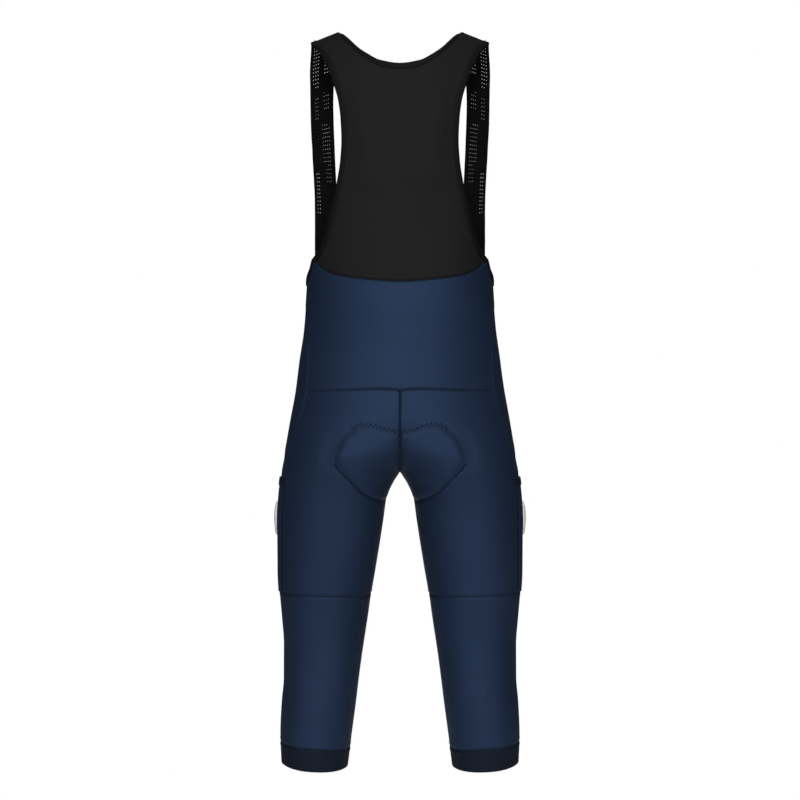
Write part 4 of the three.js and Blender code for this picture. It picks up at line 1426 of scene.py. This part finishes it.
armhole = armhole_stations()
for name, side in SIDES:
    bind(f"armhole_binding_{name}", *(values * np.array([side, 1, 1]) for values in armhole))

columns = np.linspace(-NECK_BINDING_COLUMNS, NECK_BINDING_COLUMNS, NECK_STATIONS)
top = np.zeros(len(columns))
bind("neck_binding", *stations(bib_point, (columns, top), (columns, top + NECK_BINDING_ROW), drop=NECK_SHIFT))

columns = np.linspace(STRAP_LAST_COLUMN, FRONT_COLUMNS, FRONT_STATIONS)
top = np.zeros(len(columns))
half = stations(
    front_point, (columns, top), (columns, top + 1), drop=EDGE_SHIFT, limit=FRONT_COLUMNS - 2 * EDGE_SHIFT)
bind("front_binding", *(np.concatenate([values, values[-2::-1] * np.array([-1, 1, 1])]) for values in half))


# Pockets on the outer thighs

def height_under(grid, column, row):
    """The relief of the front panel that shows through a pocket, and the pocket's own swell.

    A pocket stands a little away from the thigh, most at its middle.
    """
    across = np.sin(math.pi * np.clip(column / POCKET_COLUMNS, 0, 1))
    length = FRONT_ROWS - POCKET_MOUTH_ROW + POCKET_SWELL_START
    down = np.sin(math.pi * np.clip((row - POCKET_MOUTH_ROW + POCKET_SWELL_START) / length, 0, 1))
    panel_relief = drift(grid["points"], *FRONT_SWELL) + crease_height(grid["points"], grid["side"])
    return panel_relief * UNDER_SHARE + POCKET_SWELL * across**POCKET_SWELL_ROUND * down


for part, kind, size, rows, thickness, slot_name in (
    ("pocket", "cloth", POCKET_GRID, (POCKET_MOUTH_ROW, FRONT_ROWS), POCKET_CLOTH, "navy_knit"),
    ("pocket_hem", "strip", POCKET_HEM_GRID, (POCKET_MOUTH_ROW - 1, POCKET_MOUTH_ROW), POCKET_HEM_CLOTH,
     "cuff_elastic"),
):
    right = survey(front_point, np.linspace(0, POCKET_COLUMNS, size[0] + 1), np.linspace(*rows, size[1]))
    for name, grid in both_sides(right):
        distances = edge_distances(grid)
        near = np.minimum(distances["first_column"], distances["last_column"])
        height = height_under(grid, grid["column"], grid["row"]) * smooth(near / EDGE_CALM)
        if part == "pocket":
            height -= POCKET_GROOVE * bell(near - POCKET_GROOVE_AT, POCKET_GROOVE_WIDTH)
        else:
            share = np.clip(grid["down"] / grid["down"][-1:], 0, 1)
            height += HEM_ROLL * np.sin(math.pi * share) ** HEM_ROUND
        lay(f"{part}_{name}", kind, grid, thickness, height, slot_name, LAYER_GAP + thickness + POCKET_LIFT)


def tab_shares(column, row):
    """How far a place lies from the tab's middle, as a share of the way to its edge."""
    return [
        (value - np.mean(span)) / (span[1] - np.mean(span))
        for value, span in ((column, TAB_COLUMNS), (row, TAB_ROWS))
    ]


def tab_place(column, row):
    """Column and row of the front panel under a place of the tab, with the tab's corners rounded."""
    across, down = tab_shares(column, row)
    across_round = across * (1 - TAB_CORNER * np.abs(down) ** TAB_CORNER_POWER)
    down_round = down * (1 - TAB_CORNER * TAB_CORNER_DOWN * np.abs(across) ** TAB_CORNER_POWER)
    return [
        np.mean(span) + share * (span[1] - np.mean(span))
        for share, span in ((across_round, TAB_COLUMNS), (down_round, TAB_ROWS))
    ]


tab = survey(
    lambda column, row: front_point(*tab_place(column, row)),
    np.linspace(*TAB_COLUMNS, TAB_GRID[0] + 1),
    np.linspace(*TAB_ROWS, TAB_GRID[1]),
)
tab_lift = LAYER_GAP + POCKET_CLOTH + POCKET_LIFT + LAYER_GAP + TAB_CLOTH
for name, grid in both_sides(tab):
    across, down = tab_shares(grid["column"], grid["row"])
    crown = np.clip(1 - down**2, 0, 1) ** TAB_CROWN_DOWN
    crown *= np.clip(1 - across**2, 0, 1) ** TAB_CROWN_ACROSS
    edge = np.minimum.reduce(list(edge_distances(grid).values()))
    height = height_under(grid, *tab_place(grid["column"], grid["row"])) + TAB_CROWN * crown
    height -= TAB_GROOVE * bell(edge - TAB_GROOVE_AT, TAB_GROOVE_WIDTH)
    lay(f"reflective_tab_{name}", "strip", grid, TAB_CLOTH, height, "reflective_tab", tab_lift)


# Seat pad, inside

pad = survey(pad_point, np.linspace(0, 1, PAD_GRID[0]), np.linspace(0, 1, PAD_GRID[1]))
for name, grid in both_sides(pad):
    distances = edge_distances(grid)
    rim = np.minimum.reduce([distances["last_column"], distances["top"], distances["bottom"]])
    filled = smooth(rim / PAD_EDGE_WIDTH)
    channel = bell(np.abs(grid["points"][..., 0]) - PAD_CHANNEL_AT, PAD_CHANNEL_WIDTH)
    thickness = PAD_EDGE_DEPTH + (PAD_DEPTH - PAD_EDGE_DEPTH) * filled - PAD_CHANNEL_DEPTH * channel * filled
    depth = CLOTH + PAD_GAP + PAD_RIM_DROP * (1 - smooth(rim / PAD_DROP_WIDTH))
    outer = grid["points"] - grid["normals"] * depth[..., None]
    inner = outer - grid["normals"] * thickness[..., None]
    for layer in (outer, inner):
        layer[..., 0] = grid["side"] * np.maximum(grid["side"] * layer[..., 0], PAD_CENTRE_GAP)
    piece = wall(f"seat_pad_{name}_foam", outer, inner, np.stack([grid["across"], grid["down"]], -1))
    settle(piece, "pad_foam", f"seat_pad_{name}")


# Sewing

flatlock = []
for name, _ in SIDES:
    flatlock += [
        ladder(edge_of(f"seat_{name}", column=-1)),
        ladder(edge_of(f"lower_leg_{name}", row=0), is_loop=True),
        ladder(edge_of(f"seat_{name}", column=0, first=SEAT_CROTCH_SHARE), FLATLOCK_NARROW),
        ladder(edge_of(f"cuff_{name}", row=0), is_loop=True),
    ]
flatlock += [
    ladder(edge_of("seat_right", column=0, last=SEAT_CROTCH_SHARE), FLATLOCK_NARROW),
    ladder(edge_of("front_right", column=-1, **FRONT_SEAM_SHARES), FLATLOCK_NARROW),
    ladder(edge_of("back_yoke", row=-1)),
]
flatlock += [ladder(edge_of("back_yoke", column=column, first=YOKE_SIDE_START)) for column in (0, -1)]
sew("seam_stitches", flatlock, SEAM_THREAD, "navy_knit", "navy_thread")
bib_seam = ladder(edge_of("bib_back", row=-1, **BIB_SEAM_SHARES))
sew("bib_seam_stitches", [bib_seam], SEAM_THREAD, "bib_knit", "black_thread")

edge_rows = [running(line) for line in binding_lines]
for name, _ in SIDES:
    edge_rows += [running(edge_of(f"strap_{name}", column=column)) for column in STRAP_STITCH_COLUMNS]
sew("edge_stitches", edge_rows, EDGE_THREAD, "binding", "black_thread")


def lay_on(surface, line, side):
    """A line of the back view, given by distance from the centre and level, laid on a surface."""
    line = np.array(line)
    length = lengths_along(line, 0)
    at = np.arange(0, length[-1], PAD_STITCH_STEP)
    spots = np.stack([np.interp(at, length, line[:, i]) for i in range(2)], -1)
    rearward = surface["points"][..., 1] < 0
    points, normals = surface["points"][rearward], surface["normals"][rearward]
    places, outs = [], []
    for spot in spots:
        gap = np.hypot(np.abs(points[:, 0]) - spot[0], points[:, 2] - spot[1])
        nearest = np.argpartition(gap, NEAREST_POINTS)[:NEAREST_POINTS]
        weight = 1 / (gap[nearest] + NEAREST_EASE)
        weight /= weight.sum()
        places.append(weight @ points[nearest])
        outs.append(weight @ normals[nearest])
    places = np.array(places)
    places[:, 0] = side * np.maximum(spots[:, 0], SEAM_HALF_GAP)
    places[:, 2] = spots[:, 1]
    return places, unit(np.array(outs))


pad_rows = []
for name, side in SIDES:
    for line, width, pitch in ZIGZAGS:
        row = lay_on(surfaces[f"seat_{name}"], line, side)
        pad_rows.append(stitches(row, pitch, width, pitch / 2, PAD_STITCH_HEIGHT, turns=True))
sew("pad_stitches", pad_rows, PAD_THREAD, "navy_knit", "pad_thread")

plain_rows, tab_rows = [], []
for name, _ in SIDES:
    plain_rows += [running(edge_of(f"pocket_{name}", column=column)) for column in POCKET_STITCH_COLUMNS]
    plain_rows += [running(edge_of(f"pocket_hem_{name}", row=row)) for row in HEM_STITCH_ROWS]
    plain_rows.append(running(edge_of(f"cuff_{name}", row=CUFF_STITCH_ROW), is_loop=True))
    tab_rows += [running(edge_of(f"reflective_tab_{name}", column=column)) for column in TAB_STITCH_LINES]
    tab_rows += [running(edge_of(f"reflective_tab_{name}", row=row)) for row in TAB_STITCH_LINES]
sew("pocket_and_hem_stitches", plain_rows, EDGE_THREAD, "navy_knit", "navy_thread")
sew("tab_stitches", tab_rows, EDGE_THREAD, "reflective_tab", "reflective_tab")


# Each sheet's piece, looked up by name; its cloth facts are not set on it

for sheet_name, width, length, area, held, neighbours in SHEETS:
    for side, other in (("right", "left"), ("left", "right")) if "SIDE" in sheet_name else (("", ""),):
        piece = bpy.data.objects[sheet_name.replace("SIDE", side)]


# Camera, light and floor

camera = add_to_scene("camera", bpy.data.cameras.new("camera"))
camera.location = (0, -CAMERA_DISTANCE, CAMERA_HEIGHT)
camera.rotation_euler = (math.radians(90), 0, 0)
camera.data.sensor_width = SENSOR_WIDTH
camera.data.lens = SENSOR_WIDTH * CAMERA_DISTANCE / PICTURE_WIDTH
camera.data.clip_end = CLIP_END
bpy.context.scene.camera = camera

for light_name, place, target, size, watts in LIGHTS:
    light = bpy.data.lights.new(light_name, "AREA")
    light.shape = "RECTANGLE"
    light.size, light.size_y = size
    light.energy = watts
    lamp = add_to_scene(light_name, light)
    lamp.location = place
    x, y, z = np.array(target) - np.array(place)
    lamp.rotation_euler = (math.pi / 2 + math.atan2(z, math.hypot(x, y)), 0, math.atan2(-x, y))
    lamp.visible_camera = False

world = bpy.data.worlds.new("studio")
bpy.context.scene.world = world
world.use_nodes = True
tree = world.node_tree
background = tree.nodes["Background"]
seen = tree.nodes.new("ShaderNodeBackground")
seen.inputs["Color"].default_value = (1, 1, 1, 1)
seen.inputs["Strength"].default_value = 1.0
background.inputs["Color"].default_value = WORLD_COLOR
background.inputs["Strength"].default_value = WORLD_LIGHT
path = tree.nodes.new("ShaderNodeLightPath")
choice = tree.nodes.new("ShaderNodeMixShader")
outputs = (path.outputs["Is Camera Ray"], background.outputs[0], seen.outputs[0])
for output, target in zip(outputs, choice.inputs):
    tree.links.new(output, target)
tree.links.new(choice.outputs[0], tree.nodes["World Output"].inputs["Surface"])

floor_mesh = bpy.data.meshes.new("floor")
turns = np.linspace(0, 2 * math.pi, FLOOR_CORNERS + 1)[:-1]
floor_points = [(FLOOR_RADIUS * math.cos(turn), FLOOR_RADIUS * math.sin(turn), FLOOR_Z) for turn in turns]
floor_mesh.from_pydata(floor_points, [], [list(range(FLOOR_CORNERS))])
floor = add_to_scene("floor", floor_mesh)
paper = bpy.data.materials.new("paper")
paper.use_nodes = True
tree = paper.node_tree
grain = tree.nodes.new("ShaderNodeTexNoise")
grain.inputs["Scale"].default_value = PAPER_GRAIN
paper_inputs = tree.nodes["Principled BSDF"].inputs
paper_color = tones(tree, grain.outputs[0], PAPER_DARK, PAPER_LIGHT)
tree.links.new(paper_color, paper_inputs["Base Color"])
paper_inputs["Roughness"].default_value = PAPER_ROUGHNESS
floor_mesh.materials.append(paper)

bpy.context.scene.view_settings.view_transform = "Standard"
bpy.context.scene.view_settings.look = "None"
